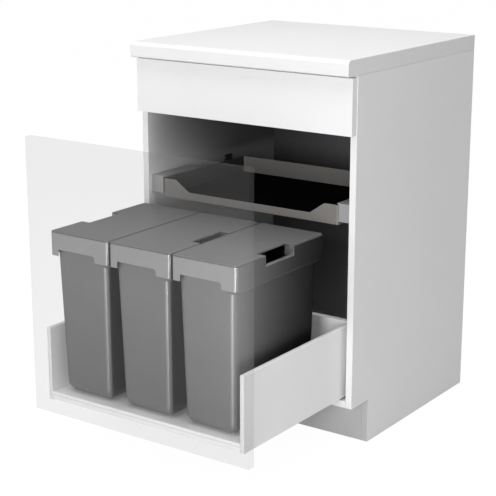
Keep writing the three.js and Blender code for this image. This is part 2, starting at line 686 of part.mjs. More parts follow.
function tray() {
  const halfDepth = TRAY_DEPTH / 2;
  const section = (inset, z) => ({
    z,
    halfX: TRAY_HALF_WIDTH - inset,
    halfY: halfDepth - inset,
    radius: TRAY_CORNER_RADIUS - inset,
  });
  const outer = loft([section(0, 0), section(0, TRAY_HEIGHT)]);
  const inner = loft([section(TRAY_WALL, TRAY_WALL), section(TRAY_WALL, TRAY_HEIGHT + TRAY_WALL)]);
  const dip = alongY(dipShape(), -halfDepth - TRAY_WALL, 3 * TRAY_WALL);
  const centre = TRAY_FRONT + halfDepth;
  place("tray_pan", build([outer], [inner, dip]), trayPlastic, 0, centre, TRAY_BOTTOM);
  const matInset = TRAY_WALL + MAT_MARGIN;
  const mat = loft(
    [0, MAT_THICKNESS].map((z) => ({
      z,
      halfX: TRAY_HALF_WIDTH - matInset,
      halfY: halfDepth - matInset,
      radius: TRAY_CORNER_RADIUS - TRAY_WALL,
    })),
  );
  place("tray_mat", mat, matRubber, 0, centre, TRAY_BOTTOM + TRAY_WALL + SEAT_GAP);
}

function traySlides() {
  const wallSide = INNER_HALF - SEAT_GAP;
  const bracketWeb = wallSide - BRACKET_SHEET;
  const railOut = bracketWeb - SEAT_GAP;
  const railIn = railOut - SLIDE_RAIL_WIDTH;
  const railLow = BRACKET_BOTTOM + SLIDE_MARGIN;
  const railHigh = railLow + SLIDE_HEIGHT;
  const fixed = [
    [railIn, railLow],
    [railOut, railLow],
    [railOut, railHigh],
    [railIn, railHigh],
    [railIn, railHigh - SLIDE_SHEET],
    [railOut - SLIDE_SHEET, railHigh - SLIDE_SHEET],
    [railOut - SLIDE_SHEET, railLow + SLIDE_SHEET],
    [railIn, railLow + SLIDE_SHEET],
  ];
  const movingIn = TRAY_HALF_WIDTH + SEAT_GAP;
  const movingOut = railOut - SLIDE_SHEET - RUN_GAP;
  const movingLow = railLow + SLIDE_SHEET + RUN_GAP;
  const movingHigh = railHigh - SLIDE_SHEET - RUN_GAP;
  const moving = [
    [movingIn, movingLow],
    [movingOut, movingLow],
    [movingOut, movingLow + SLIDE_SHEET],
    [movingIn + SLIDE_SHEET, movingLow + SLIDE_SHEET],
    [movingIn + SLIDE_SHEET, movingHigh - SLIDE_SHEET],
    [movingOut, movingHigh - SLIDE_SHEET],
    [movingOut, movingHigh],
    [movingIn, movingHigh],
  ];
  const rearY = SLIDE_START + SLIDE_LENGTH - REAR_BRACKET_LENGTH;
  for (const { side, hand } of SIDES) {
    const part = (x0, x1, y0, y1, z0, z1) => sideBlock(side, x0, x1, y0, y1, z0, z1);
    const y0 = SLIDE_START;
    const y1 = SLIDE_START + BRACKET_LENGTH;
    const frontBracket = build([
      part(bracketWeb, wallSide, y0, y1, BRACKET_BOTTOM, BRACKET_TOP),
      part(TRAY_HALF_WIDTH - BRACKET_LIP, wallSide, y0, y1, BRACKET_TOP - BRACKET_SHEET, BRACKET_TOP),
      part(movingIn, wallSide, y0, y1, BRACKET_BOTTOM, BRACKET_BOTTOM + BRACKET_SHEET),
    ]);
    place(
      `tray_slide_cap_${hand}`,
      part(movingIn, wallSide, TRAY_FRONT, TRAY_FRONT + SLIDE_CAP, BRACKET_BOTTOM, BRACKET_TOP),
      bracketGrey,
    );
    place(`tray_bracket_front_${hand}`, frontBracket, bracketGrey);
    place(
      `tray_bracket_rear_${hand}`,
      part(bracketWeb, wallSide, rearY, rearY + REAR_BRACKET_LENGTH, BRACKET_BOTTOM, BRACKET_TOP),
      zincSteel,
    );
    place(`tray_rail_${hand}`, sideProfile(side, fixed, SLIDE_START, SLIDE_LENGTH), zincSteel);
    place(`tray_slide_${hand}`, sideProfile(side, moving, SLIDE_START, SLIDE_LENGTH), zincSteel);
  }
}

// ---------------------------------------------------------------- the whole unit
carcass();
worktop();
worktopScrews();
fascia();
drawerBox();
drawerRunners();
bins();
tray();
traySlides();

for (const mesh of unit.children) {
  mesh.geometry = flatShaded(mesh.geometry);
}
const frontmost = DRAWER_START - FRONT_THICKNESS;
unit.position.y = -(frontmost + CARCASS_DEPTH) / 2;

export default unit;
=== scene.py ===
"""Looks for a kitchen base unit with a pull-out front, three waste bins and a tray on slides.

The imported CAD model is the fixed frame. Boards, sheet metal and rails are softened copies of their CAD
nodes, while the worktop, drawer sides, bins, lids and tray are built here from the same sizes, in metres.
"""

import logging
import math
from collections.abc import Iterable, Sequence
from dataclasses import dataclass
from enum import Enum
from functools import cached_property

import bmesh
import bpy
from mathutils import Matrix, Vector


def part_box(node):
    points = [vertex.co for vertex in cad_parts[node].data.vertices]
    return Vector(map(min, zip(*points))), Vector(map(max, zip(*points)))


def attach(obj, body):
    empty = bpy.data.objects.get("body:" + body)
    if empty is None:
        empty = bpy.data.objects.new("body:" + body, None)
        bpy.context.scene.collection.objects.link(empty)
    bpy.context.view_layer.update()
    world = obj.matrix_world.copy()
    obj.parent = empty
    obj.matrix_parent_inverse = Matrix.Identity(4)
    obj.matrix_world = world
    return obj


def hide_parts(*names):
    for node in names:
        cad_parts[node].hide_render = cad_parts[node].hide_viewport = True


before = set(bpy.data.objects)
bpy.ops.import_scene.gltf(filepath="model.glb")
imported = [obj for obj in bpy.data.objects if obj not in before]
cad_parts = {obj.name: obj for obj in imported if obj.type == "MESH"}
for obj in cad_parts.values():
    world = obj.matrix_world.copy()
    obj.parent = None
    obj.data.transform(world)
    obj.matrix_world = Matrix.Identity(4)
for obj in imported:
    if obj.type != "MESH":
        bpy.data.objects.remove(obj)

LOG = logging.getLogger("base_unit")
OUT_OF_REACH = 9.0
WHITE = (1.0, 1.0, 1.0, 1.0)

Colour = tuple[float, float, float]
Point = tuple[float, float, float]
Flat = tuple[float, float]
Spot = tuple[Point, Point]


# -------------------------------------------------------------------------------- named choices
class Hand(Enum):
    """A side of the unit, seen from the front."""

    LEFT = "left"
    RIGHT = "right"

    @property
    def sign(self) -> int:
        """The sign of X on this side."""
        return 1 if self is Hand.RIGHT else -1

    def outer(self, node: str) -> float:
        """X of a CAD node's face away from the middle of the unit."""
        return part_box(node)[1 if self is Hand.RIGHT else 0].x

    def inner(self, node: str) -> float:
        """X of a CAD node's face towards the middle of the unit."""
        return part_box(node)[0 if self is Hand.RIGHT else 1].x


class Place(Enum):
    """A bin's place in the row."""

    LEFT = "left"
    MIDDLE = "middle"
    RIGHT = "right"

    @property
    def notch(self) -> Hand:
        """The long side that has the grip notch: the outer left bin is turned."""
        return Hand.LEFT if self is Place.LEFT else Hand.RIGHT


class Carve(Enum):
    """What a tool solid does to a piece."""

    CUT = "DIFFERENCE"
    JOIN = "UNION"


# -------------------------------------------------------------------------------- node trees
class Graph:
    """A node tree under construction."""

    def __init__(self, tree: bpy.types.NodeTree) -> None:
        """Wraps a tree.

        Args:
            tree: The tree that nodes and links are added to.
        """
        self.tree = tree

    def feed(self, socket: bpy.types.NodeSocket, value: object) -> None:
        """Links or sets one input.

        Args:
            socket: The input.
            value: An output socket to link, or a plain value.
        """
        if isinstance(value, bpy.types.NodeSocket):
            self.tree.links.new(value, socket)
        else:
            socket.default_value = value

    def node(
        self, kind: str, inputs: dict[str | int, object] | None = None, **settings: object
    ) -> bpy.types.Node:
        """Adds a node.

        Args:
            kind: Its Blender type.
            inputs: Values or sockets by input name or number.
            settings: Its own properties.

        Returns:
            The node.
        """
        made = self.tree.nodes.new(kind)
        for key, value in settings.items():
            setattr(made, key, value)
        for key, value in (inputs or {}).items():
            self.feed(made.inputs[key], value)
        return made

    def math(self, operation: str, *values: object, clamp: bool = False) -> bpy.types.NodeSocket:
        """Adds a Math node.

        Args:
            operation: Its operation.
            values: Its values, up to three.
            clamp: Whether the result stays from 0 to 1.

        Returns:
            The result's socket.
        """
        made = self.node("ShaderNodeMath", dict(enumerate(values)), operation=operation, use_clamp=clamp)
        return made.outputs[0]

    def product(self, *values: object) -> bpy.types.NodeSocket:
        """Multiplies values.

        Args:
            values: Two values or more.

        Returns:
            The result's socket.
        """
        made = values[0]
        for value in values[1:]:
            made = self.math("MULTIPLY", made, value)
        return made

    def inverse(self, mask: object) -> bpy.types.NodeSocket:
        """One less a mask."""
        return self.math("SUBTRACT", 1.0, mask)

    def gain(self, mask: object, amount: float) -> bpy.types.NodeSocket:
        """A factor that is 1 where the mask is 0, and 1 plus the amount where it is 1."""
        return self.math("MULTIPLY_ADD", mask, amount, 1.0)

    def mix(self, factor: object, a: object, b: object) -> bpy.types.NodeSocket:
        """Adds a colour mix.

        Args:
            factor: The share of b.
            a: The first colour.
            b: The second colour.

        Returns:
            The result's socket.
        """
        made = self.node("ShaderNodeMix", {0: factor, 6: a, 7: b}, data_type="RGBA")
        return made.outputs[2]

    def span(
        self, value: object, low: object, high: object, to_low: object = 0.0, to_high: object = 1.0
    ) -> bpy.types.NodeSocket:
        """Adds a clamped linear Map Range.

        Args:
            value: What is mapped.
            low: The value that becomes to_low.
            high: The value that becomes to_high.
            to_low: The result at low.
            to_high: The result at high.

        Returns:
            The result's socket.
        """
        made = self.node("ShaderNodeMapRange", {0: value, 1: low, 2: high, 3: to_low, 4: to_high})
        return made.outputs[0]

    def place(self) -> bpy.types.NodeSocket:
        """The object coordinates."""
        return self.node("ShaderNodeTexCoord").outputs["Object"]

    def axes(self, vector: bpy.types.NodeSocket) -> bpy.types.bpy_prop_collection:
        """The sockets of a vector's X, Y and Z."""
        return self.node("ShaderNodeSeparateXYZ", {0: vector}).outputs

    def noise(self, place: bpy.types.NodeSocket, scale: object, detail: float) -> bpy.types.NodeSocket:
        """Adds noise.

        Args:
            place: Its coordinates.
            scale: Its scale.
            detail: Its octaves.

        Returns:
            Its value, round 0.5.
        """
        made = self.node("ShaderNodeTexNoise", {"Vector": place, "Scale": scale, "Detail": detail})
        return made.outputs[0]


def rgba(colour: Colour) -> tuple[float, float, float, float]:
    """The colour with full alpha."""
    return (*colour, 1.0)


def spaced(keyword: str) -> str:
    """A socket's name from a keyword, whose underscores stand for spaces."""
    return keyword.replace("_", " ")


class ShaderGroups:
    """The effects that several materials share, each built at its first use."""

    @staticmethod
    def _open(
        name: str, outputs: Sequence[str], **inputs: float
    ) -> tuple[Graph, bpy.types.bpy_prop_collection]:
        """Starts a group.

        Args:
            name: Its name.
            outputs: Its number outputs.
            inputs: Its number inputs with their defaults, with underscores for spaces.

        Returns:
            Its graph and its inputs' sockets.
        """
        tree = bpy.data.node_groups.new(name, "ShaderNodeTree")
        sockets = tree.interface
        for key, default in inputs.items():
            made = sockets.new_socket(name=spaced(key), in_out="INPUT", socket_type="NodeSocketFloat")
            made.default_value = default
        for label in outputs:
            sockets.new_socket(name=label, in_out="OUTPUT", socket_type="NodeSocketFloat")
        graph = Graph(tree)
        return graph, graph.node("NodeGroupInput").outputs

    @staticmethod
    def _close(graph: Graph, *ends: bpy.types.NodeSocket) -> bpy.types.NodeTree:
        """Ends a group.

        Args:
            graph: Its graph.
            ends: What its outputs give, in their order.

        Returns:
            The group's tree.
        """
        graph.node("NodeGroupOutput", dict(enumerate(ends)))
        return graph.tree

    @cached_property
    def tone(self) -> bpy.types.NodeTree:
        """Slow cloudy variation round 1.

        Returns:
            The group's tree.
        """
        graph, given = self._open("tone", ("Tone",), Scale=6.0, Contrast=0.02)
        cloud = graph.noise(graph.place(), given["Scale"], 4.0)
        low = graph.inverse(given["Contrast"])
        high = graph.math("ADD", 1.0, given["Contrast"])
        return self._close(graph, graph.span(cloud, 0.3, 0.7, low, high))

    @cached_property
    def grain(self) -> bpy.types.NodeTree:
        """Fine moulded or sprayed grain: its height, and slow changes of gloss round 0.

        Returns:
            The group's tree.
        """
        graph, given = self._open("grain", ("Height", "Gloss"), Scale=900.0, Gloss_Spread=0.1)
        place = graph.place()
        slow = graph.noise(place, graph.product(given["Scale"], 0.07), 2.0)
        gloss = graph.product(graph.math("SUBTRACT", slow, 0.5), given["Gloss Spread"])
        return self._close(graph, graph.noise(place, given["Scale"], 2.0), gloss)

    @cached_property
    def brushed(self) -> bpy.types.NodeTree:
        """Drawn lines along Y, as rolled steel has.

        Returns:
            The group's tree.
        """
        graph, given = self._open("brushed", ("Lines",), Scale=700.0)
        stretch = {0: graph.place(), 1: (1.0, 0.03, 1.0)}
        stretched = graph.node("ShaderNodeVectorMath", stretch, operation="MULTIPLY")
        return self._close(graph, graph.noise(stretched.outputs[0], given["Scale"], 3.0))

    @cached_property
    def within(self) -> bpy.types.NodeTree:
        """Where a board faces the inside of the cabinet, and how deep that is.

        Returns:
            The group's tree.
        """
        sizes = {"Half_Width": 0.3, "Front": 0.0, "Rear": 0.5, "Bottom": 0.1, "Top": 0.9, "Fade": 0.2}
        graph, given = self._open("within", ("Inside", "Depth"), **sizes)
        x, y, z = graph.axes(graph.place())
        tests = (
            ("LESS_THAN", graph.math("ABSOLUTE", x), "Half Width"),
            ("GREATER_THAN", y, "Front"),
            ("LESS_THAN", y, "Rear"),
            ("GREATER_THAN", z, "Bottom"),
            ("LESS_THAN", z, "Top"),
        )
        inside = graph.product(*(graph.math(test, value, given[limit]) for test, value, limit in tests))
        end = graph.math("ADD", given["Front"], given["Fade"])
        return self._close(graph, inside, graph.span(y, given["Front"], end))

    @cached_property
    def reach(self) -> bpy.types.NodeTree:
        """Soft steps along X, Y and Z, each from 0 at its low end to 1 at its high end.

        Returns:
            The group's tree.
        """
        ends = {"Low": OUT_OF_REACH, "High": OUT_OF_REACH + 1.0}
        inputs = {f"{axis}_{end}": value for axis in "XYZ" for end, value in ends.items()}
        graph, given = self._open("reach", ("Along X", "Along Y", "Along Z"), **inputs)
        axes = zip("XYZ", graph.axes(graph.place()))
        steps = [graph.span(value, given[f"{axis} Low"], given[f"{axis} High"]) for axis, value in axes]
        return self._close(graph, *steps)

    @cached_property
    def flanks(self) -> bpy.types.NodeTree:
        """Where a face looks along X, and where it is also near the middle of the row.

        Returns:
            The group's tree.
        """
        graph, given = self._open("flanks", ("Flank", "Between"), Half_Width=0.18)
        source = graph.node("ShaderNodeTexCoord").outputs
        flank = graph.span(graph.math("ABSOLUTE", graph.axes(source["Normal"])[0]), 0.5, 0.9)
        across = graph.math("ABSOLUTE", graph.axes(source["Object"])[0])
        near = graph.math("LESS_THAN", across, given["Half Width"])
        return self._close(graph, flank, graph.product(flank, near))

    @cached_property
    def handling(self) -> bpy.types.NodeTree:
        """Scuffs from handling: broken patches in a band below a level.

        Returns:
            The group's tree.
        """
        graph, given = self._open("handling", ("Mask",), Level=0.5, Spread=0.05, Scale=60.0)
        place = graph.place()
        low = graph.math("SUBTRACT", given["Level"], given["Spread"])
        band = graph.span(graph.axes(place)[2], low, given["Level"])
        patches = graph.span(graph.noise(place, given["Scale"], 6.0), 0.55, 0.75)
        return self._close(graph, graph.product(band, patches))


GROUPS = ShaderGroups()


# -------------------------------------------------------------------------------- finishes
@dataclass(frozen=True)
class Texture:
    """The fine texture of a finish: clouds in its colour, and a grain in its gloss and its relief."""

    clouds: float
    contrast: float
    grain: float
    gloss: float
    relief: float = 0.0
    strength: float = 0.5


class Surface:
    """A new material with its Principled shader, ready for the finish to wire."""

    def __init__(self, name: str) -> None:
        """Makes the material.

        Args:
            name: The material's name.
        """
        self.material = bpy.data.materials.new(name)
        self.material.use_nodes = True
        tree = self.material.node_tree
        tree.nodes.clear()
        self.graph = Graph(tree)
        self.shader = self.graph.node("ShaderNodeBsdfPrincipled")
        self.graph.node("ShaderNodeOutputMaterial", {"Surface": self.shader.outputs[0]})

    def effect(self, tree: bpy.types.NodeTree, **inputs: object) -> bpy.types.bpy_prop_collection:
        """Places a shader group.

        Args:
            tree: The group.
            inputs: Its values, with underscores for spaces.

        Returns:
            The group's output sockets.
        """
        made = self.graph.node("ShaderNodeGroup", node_tree=tree)
        for key, value in inputs.items():
            self.graph.feed(made.inputs[spaced(key)], value)
        return made.outputs

    def along(self, axis: str, low: float, high: float) -> bpy.types.NodeSocket:
        """A soft step along one of the object's axes.

        Args:
            axis: X, Y or Z.
            low: Where it is 0.
            high: Where it is 1.

        Returns:
            The step's socket.
        """
        return self.effect(GROUPS.reach, **{f"{axis}_Low": low, f"{axis}_High": high})[f"Along {axis}"]

    def colour(self, colour: object, tone: bpy.types.NodeSocket) -> None:
        """Feeds the base colour.

        Args:
            colour: A colour or a colour socket.
            tone: The socket that lightens or darkens it, round 1.
        """
        grey = self.graph.node("ShaderNodeCombineColor", {0: tone, 1: tone, 2: tone}).outputs[0]
        shares = {0: 1.0, 6: colour, 7: grey}
        made = self.graph.node("ShaderNodeMix", shares, data_type="RGBA", blend_type="MULTIPLY")
        self.graph.feed(self.shader.inputs["Base Color"], made.outputs[2])

    def rough(self, level: float, shift: bpy.types.NodeSocket) -> None:
        """Feeds the roughness.

        Args:
            level: Its mean.
            shift: The socket added to it.
        """
        self.graph.feed(self.shader.inputs["Roughness"], self.graph.math("ADD", level, shift, clamp=True))

    def bump(self, height: bpy.types.NodeSocket, distance: float, strength: float) -> None:
        """Feeds the normal from a height.

        Args:
            height: The height's socket, from 0 to 1.
            distance: What a height of 1 stands for, in metres.
            strength: The bump's strength.
        """
        inputs = {"Height": height, "Distance": distance, "Strength": strength}
        self.graph.feed(self.shader.inputs["Normal"], self.graph.node("ShaderNodeBump", inputs).outputs[0])

    def skin(
        self,
        texture: Texture,
        colour: object,
        roughness: float,
        level: bpy.types.NodeSocket | None = None,
        polish: bpy.types.NodeSocket | None = None,
    ) -> None:
        """Feeds colour, roughness and normal with a fine texture.

        Args:
            texture: The texture.
            colour: A colour or a colour socket.
            roughness: The mean roughness.
            level: A socket that lightens or darkens the colour, round 1.
            polish: A socket taken from the roughness.
        """
        tone = self.effect(GROUPS.tone, Scale=texture.clouds, Contrast=texture.contrast)["Tone"]
        grain = self.effect(GROUPS.grain, Scale=texture.grain, Gloss_Spread=texture.gloss)
        self.colour(colour, tone if level is None else self.graph.product(level, tone))
        gloss = grain["Gloss"]
        self.rough(roughness, gloss if polish is None else self.graph.math("SUBTRACT", gloss, polish))
        if texture.relief:
            self.bump(grain["Height"], texture.relief, texture.strength)

    def fix(self, **values: object) -> None:
        """Sets constants on the shader's own sockets, with underscores for spaces."""
        for key, value in values.items():
            self.shader.inputs[spaced(key)].default_value = value


@dataclass(frozen=True)
class Interior:
    """The room inside the cabinet, a hair past the boards' inner faces."""

    half: float
    front: float
    rear: float
    bottom: float
    top: float

    @classmethod
    def from_frame(cls, skin: float = 0.0004) -> "Interior":
        """Measures the room on the CAD nodes.

        Args:
            skin: How far it reaches into the boards.

        Returns:
            The room.
        """
        return cls(
            half=Hand.RIGHT.inner("side_panel_right") + skin,
            front=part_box("side_panel_right")[0].y + skin,
            rear=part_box("back_panel")[0].y + skin,
            bottom=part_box("bottom_panel")[1].z - skin,
            top=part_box("top_rail_front")[0].z + skin,
        )


@dataclass(frozen=True)
class BoardFinish:
    """Melamine-faced board: pale outside. Inside the cabinet its colour carries painted light near the
    opening and painted shade towards the depth.

    The painted shade deepens over the fade. How soon it does so is bent by height and by depth, and low
    down, where the room is open to the light, it hardly darkens. The bands are heights. The inside may also
    be lightened towards the right and towards the foot, as painted light.
    """

    name: str
    room: Interior
    outside: Colour
    # The inside's colour near the opening, lighter than the outside as painted light, and deep inside, as
    # painted shade.
    painted_light_front: Colour = (0.95, 0.95, 0.955)
    painted_shade_deep: Colour = (0.08, 0.08, 0.082)
    roughness: float = 0.42
    specular: float = 0.35
    fade: float = 0.54
    bend_low: float = 0.8
    bend_high: float = 6.4
    bend_deep: float = 3.6
    bend_band: Flat = (0.6, 0.7)
    deep_from: float = 0.7
    open_share: float = 0.85
    open_band: Flat = (0.42, 0.6)
    # Gains that lighten the inside towards the right and towards the foot: painted light.
    painted_light_right: float = 0.0
    painted_light_foot: float = 0.0
    foot_band: Flat = (0.45, 0.15)
    texture: Texture = Texture(5.0, 0.012, 650.0, 0.12, 0.00002)

    def build(self) -> bpy.types.Material:
        """Builds the material.

        Returns:
            The material.
        """
        made = Surface(self.name)
        graph, room = made.graph, self.room
        sizes = {"Half_Width": room.half, "Front": room.front, "Rear": room.rear}
        where = made.effect(GROUPS.within, **sizes, Bottom=room.bottom, Top=room.top, Fade=self.fade)
        # Painted shade: the inside darkens with depth, sooner or later by height, and less low down where
        # the room is open.
        bend = graph.span(made.along("Z", *self.bend_band), 0.0, 1.0, self.bend_low, self.bend_high)
        bend = graph.span(where["Depth"], 0.0, self.deep_from, bend, self.bend_deep)
        dark = graph.inverse(graph.math("POWER", graph.inverse(where["Depth"]), bend))
        closed = graph.math(
            "MULTIPLY_ADD", made.along("Z", *self.open_band), self.open_share, 1.0 - self.open_share
        )
        front, deep = rgba(self.painted_light_front), rgba(self.painted_shade_deep)
        inside = graph.mix(graph.product(dark, closed), front, deep)
        # Painted light on the inside, towards the right and towards the foot.
        right = graph.gain(made.along("X", -room.half, room.half), self.painted_light_right)
        foot = graph.gain(made.along("Z", *self.foot_band), self.painted_light_foot)
        painted_light = graph.span(where["Inside"], 0.0, 1.0, 1.0, graph.product(right, foot))
        colour = graph.mix(where["Inside"], rgba(self.outside), inside)
        made.skin(self.texture, colour, self.roughness, painted_light)
        made.fix(Specular_IOR_Level=self.specular)
        return made.material


@dataclass(frozen=True)
class EvenFinish:
    """A finish of one colour with a fine texture."""

    name: str
    tint: Colour
    roughness: float
    specular: float
    texture: Texture

    def build(self) -> bpy.types.Material:
        """Builds the material.

        Returns:
            The material.
        """
        made = Surface(self.name)
        made.skin(self.texture, rgba(self.tint), self.roughness)
        made.fix(Specular_IOR_Level=self.specular)
        return made.material


@dataclass(frozen=True)
class LaminateFinish(EvenFinish):
    """High-pressure laminate with a fine pearl texture."""

    specular: float = 0.4
    texture: Texture = Texture(4.0, 0.01, 420.0, 0.15, 0.00004)


@dataclass(frozen=True)
class PaintFinish(EvenFinish):
    """Powder coat on steel, with a slight orange peel."""

    roughness: float = 0.38
    specular: float = 0.5
    texture: Texture = Texture(8.0, 0.012, 260.0, 0.1, 0.00006, 0.4)


@dataclass(frozen=True)
class RubberFinish(EvenFinish):
    """Matt black rubber."""

    roughness: float = 0.82
    specular: float = 0.03
    texture: Texture = Texture(25.0, 0.15, 1500.0, 0.1, 0.00008, 0.7)


@dataclass(frozen=True)
class MouldedFinish:
    """Injection-moulded plastic: a fine grain and a smoother collar, whose front face is also lightened as
    painted light, with painted shade towards the rear.

    The painted rear shade may be kept to the long sides, the sides between two bins get more painted shade
    still, and painted shade may darken the foot.
    """

    name: str
    tint: Colour
    roughness: float
    # Painted shade towards the rear, from the front to the rear, bent by steep.
    shade: float
    front: float = -0.43
    rear: float = -0.13
    steep: float = 1.0
    sided: float = 0.0
    # Painted shade on the sides between two bins.
    gap_shade: float = 0.0
    row_half: float = 0.18
    collar_foot: float = OUT_OF_REACH
    collar_fade: float = 0.001
    collar_front: Flat = (0.002, 0.0075)
    # Painted light on the collar's front face; the polish is the collar's own smoother gloss.
    painted_light: float = 0.0
    polish: float = 0.08
    foot_band: Flat = (0.13, 0.43)
    # Painted shade towards the foot.
    foot_shade: float = 0.0
    scuff: float = 0.0
    scuff_level: float = 0.53
    scuff_spread: float = 0.05
    scuff_scale: float = 55.0
    scuff_gain: float = 1.9
    metallic: float = 0.0
    drawn: float = 0.0
    drawn_turn: float = 0.25
    specular: float = 0.7
    texture: Texture = Texture(9.0, 0.02, 1100.0, 0.12, 0.00003)

    def build(self) -> bpy.types.Material:
        """Builds the material.

        Returns:
            The material.
        """
        made = Surface(self.name)
        graph = made.graph
        # The collar's front face: lightened as painted light, and smoother.
        start, end = self.collar_front
        upper = made.along("Z", self.collar_foot, self.collar_foot + self.collar_fade)
        collar = graph.product(upper, graph.inverse(made.along("Y", self.front + start, self.front + end)))
        sides = made.effect(GROUPS.flanks, Half_Width=self.row_half)
        flank = graph.math("MULTIPLY_ADD", sides["Flank"], self.sided, 1.0 - self.sided)
        # Painted shade: towards the rear, between two bins and towards the foot.
        far = graph.product(made.along("Y", self.front, self.rear), flank)
        level = graph.product(
            graph.gain(collar, self.painted_light),
            graph.math("POWER", graph.gain(far, -self.shade), self.steep),
            graph.gain(sides["Between"], -self.gap_shade),
            graph.span(made.along("Z", *self.foot_band), 0.0, 1.0, 1.0 - self.foot_shade, 1.0),
        )
        band = {"Level": self.scuff_level, "Spread": self.scuff_spread}
        worn = made.effect(GROUPS.handling, **band, Scale=self.scuff_scale)["Mask"]
        pale = tuple(min(1.0, channel * self.scuff_gain) for channel in self.tint)
        colour = graph.mix(graph.product(worn, self.scuff), rgba(self.tint), rgba(pale))
        made.skin(self.texture, colour, self.roughness, level, graph.product(collar, self.polish))
        made.fix(Specular_IOR_Level=self.specular, Metallic=self.metallic)
        made.fix(Anisotropic=self.drawn, Anisotropic_Rotation=self.drawn_turn)
        return made.material


@dataclass(frozen=True)
class SteelFinish:
    """Bare zinc-plated steel with rolling lines along Y."""

    name: str
    tint: Colour
    roughness: float = 0.36
    clouds: float = 30.0
    contrast: float = 0.07
    lines: float = 800.0
    gloss: float = 0.3
    relief: float = 0.00003
    metallic: float = 0.9

    def build(self) -> bpy.types.Material:
        """Builds the material.

        Returns:
            The material.
        """
        made = Surface(self.name)
        graph = made.graph
        tone = made.effect(GROUPS.tone, Scale=self.clouds, Contrast=self.contrast)["Tone"]
        lines = made.effect(GROUPS.brushed, Scale=self.lines)["Lines"]
        made.colour(rgba(self.tint), tone)
        made.rough(self.roughness, graph.product(graph.math("SUBTRACT", lines, 0.5), self.gloss))
        made.bump(lines, self.relief, 0.5)
        made.fix(Metallic=self.metallic)
        return made.material


@dataclass(frozen=True)
class ClearFinish:
    """See-through front: each face lets most of the light pass.

    Its tint is a little darker near the top as painted shade, and lighter towards the right between two
    heights as painted light.
    """

    name: str
    tint: Colour
    opacity: float = 0.1
    roughness: float = 0.35
    specular: float = 0.25
    # Painted light towards the right, between two heights.
    painted_light: float = 0.8
    painted_light_right: Flat = (0.08, 0.27)
    painted_light_from: Flat = (0.14, 0.26)
    # Painted shade near the top.
    darker: float = 0.25
    top_band: Flat = (0.56, 0.66)
    texture: Texture = Texture(3.0, 0.015, 300.0, 0.08)

    def build(self) -> bpy.types.Material:
        """Builds the material.

        Returns:
            The material.
        """
        made = Surface(self.name)
        graph = made.graph
        # Painted shade near the top and painted light towards the right, in the tint.
        top = made.along("Z", *self.top_band)
        below = graph.product(graph.inverse(top), made.along("Z", *self.painted_light_from))
        more = graph.product(made.along("X", *self.painted_light_right), below, self.painted_light)
        level = graph.math("ADD", graph.gain(top, -self.darker), more)
        made.skin(self.texture, rgba(self.tint), self.roughness, level)
        made.fix(Alpha=self.opacity, Specular_IOR_Level=self.specular)
        return made.material


class Palette:
    """Every finish of the unit, built once."""

    def __init__(self) -> None:
        """Builds the materials of boards, steel and plastic."""
        self._boards()
        self._metals()
        self._plastics()

    def _boards(self) -> None:
        """Builds the boards' finishes and the clear front's."""
        room = Interior.from_frame()
        charcoal = (0.05, 0.05, 0.0525)
        # The white boards' insides carry painted light near the opening and painted shade deeper in.
        self.white_board = BoardFinish("white melamine", room, (0.82, 0.82, 0.825)).build()
        # The back board's inside is lightened towards the right and towards the foot as painted light.
        self.dark_board = BoardFinish(
            "charcoal board", room, (0.05, 0.05, 0.052), charcoal, charcoal, 0.6, 0.06,
            painted_light_right=3.0, painted_light_foot=3.2,
        ).build()
        self.plinth_board = LaminateFinish("plinth laminate", (0.49, 0.49, 0.497), 0.5).build()
        self.drawer_board = LaminateFinish("drawer melamine", (0.92, 0.92, 0.925), 0.45).build()
        self.worktop = LaminateFinish("worktop laminate", (0.775, 0.773, 0.775), 0.48, 0.2).build()
        self.clear = ClearFinish("translucent front", (0.17, 0.17, 0.173)).build()

    def _metals(self) -> None:
        """Builds the coated and the plated steels' finishes."""
        self.white_steel = PaintFinish("white powder coat", (0.86, 0.86, 0.865)).build()
        self.zinc = SteelFinish("zinc plate", (0.62, 0.63, 0.64)).build()
        # A darker copy of the zinc plate, as painted shade on the rails and the rear bracket deep in the
        # cabinet.
        self.shade_painted_zinc = SteelFinish("zinc plate in painted shade", (0.16, 0.16, 0.163), 0.4).build()
        self.bracket = PaintFinish("light grey paint", (0.32, 0.32, 0.328), 0.42).build()

    def _plastics(self) -> None:
        """Builds the plastics' and the rubber's finishes."""
        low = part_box("bin_right")[0]
        # The bin's colour carries painted shade towards the rear of its long sides, between bins and towards
        # the foot, and painted light on the collar's front face.
        self.bin = MouldedFinish(
            "moulded bin", (0.4, 0.395, 0.395), 0.49, 0.95, front=low.y, steep=2.1, sided=1.0,
            gap_shade=0.6, collar_foot=low.z + BinShape().body_top, painted_light=0.6, foot_shade=0.3,
            metallic=0.9, drawn=0.5,
        ).build()
        # The lid's colour darkens towards the rear as painted shade.
        self.lid = MouldedFinish("moulded lid", (0.163, 0.16, 0.16), 0.48, 0.42).build()
        low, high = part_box("tray_pan")
        # The tray's sides darken towards the rear as painted shade; its scuffs are real wear.
        self.tray = MouldedFinish(
            "moulded tray", (0.187, 0.178, 0.168), 0.45, 0.9, front=low.y, rear=high.y, steep=2.0,
            sided=1.0, scuff=0.04, scuff_level=0.58,
        ).build()
        self.rubber = RubberFinish("ribbed rubber", (0.005, 0.005, 0.005)).build()


# -------------------------------------------------------------------------------- mesh helpers
FINE_MERGE = 1e-7
RUN_MERGE = 1e-5
CAD_MERGE = 2e-6
PLAIN_EDGE = ((-0.5, 0.0), (0.5, 0.0))


def seat_of(node: str) -> Point:
    """The middle of a CAD node's underside."""
    low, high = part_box(node)
    return ((low.x + high.x) / 2, (low.y + high.y) / 2, low.z)


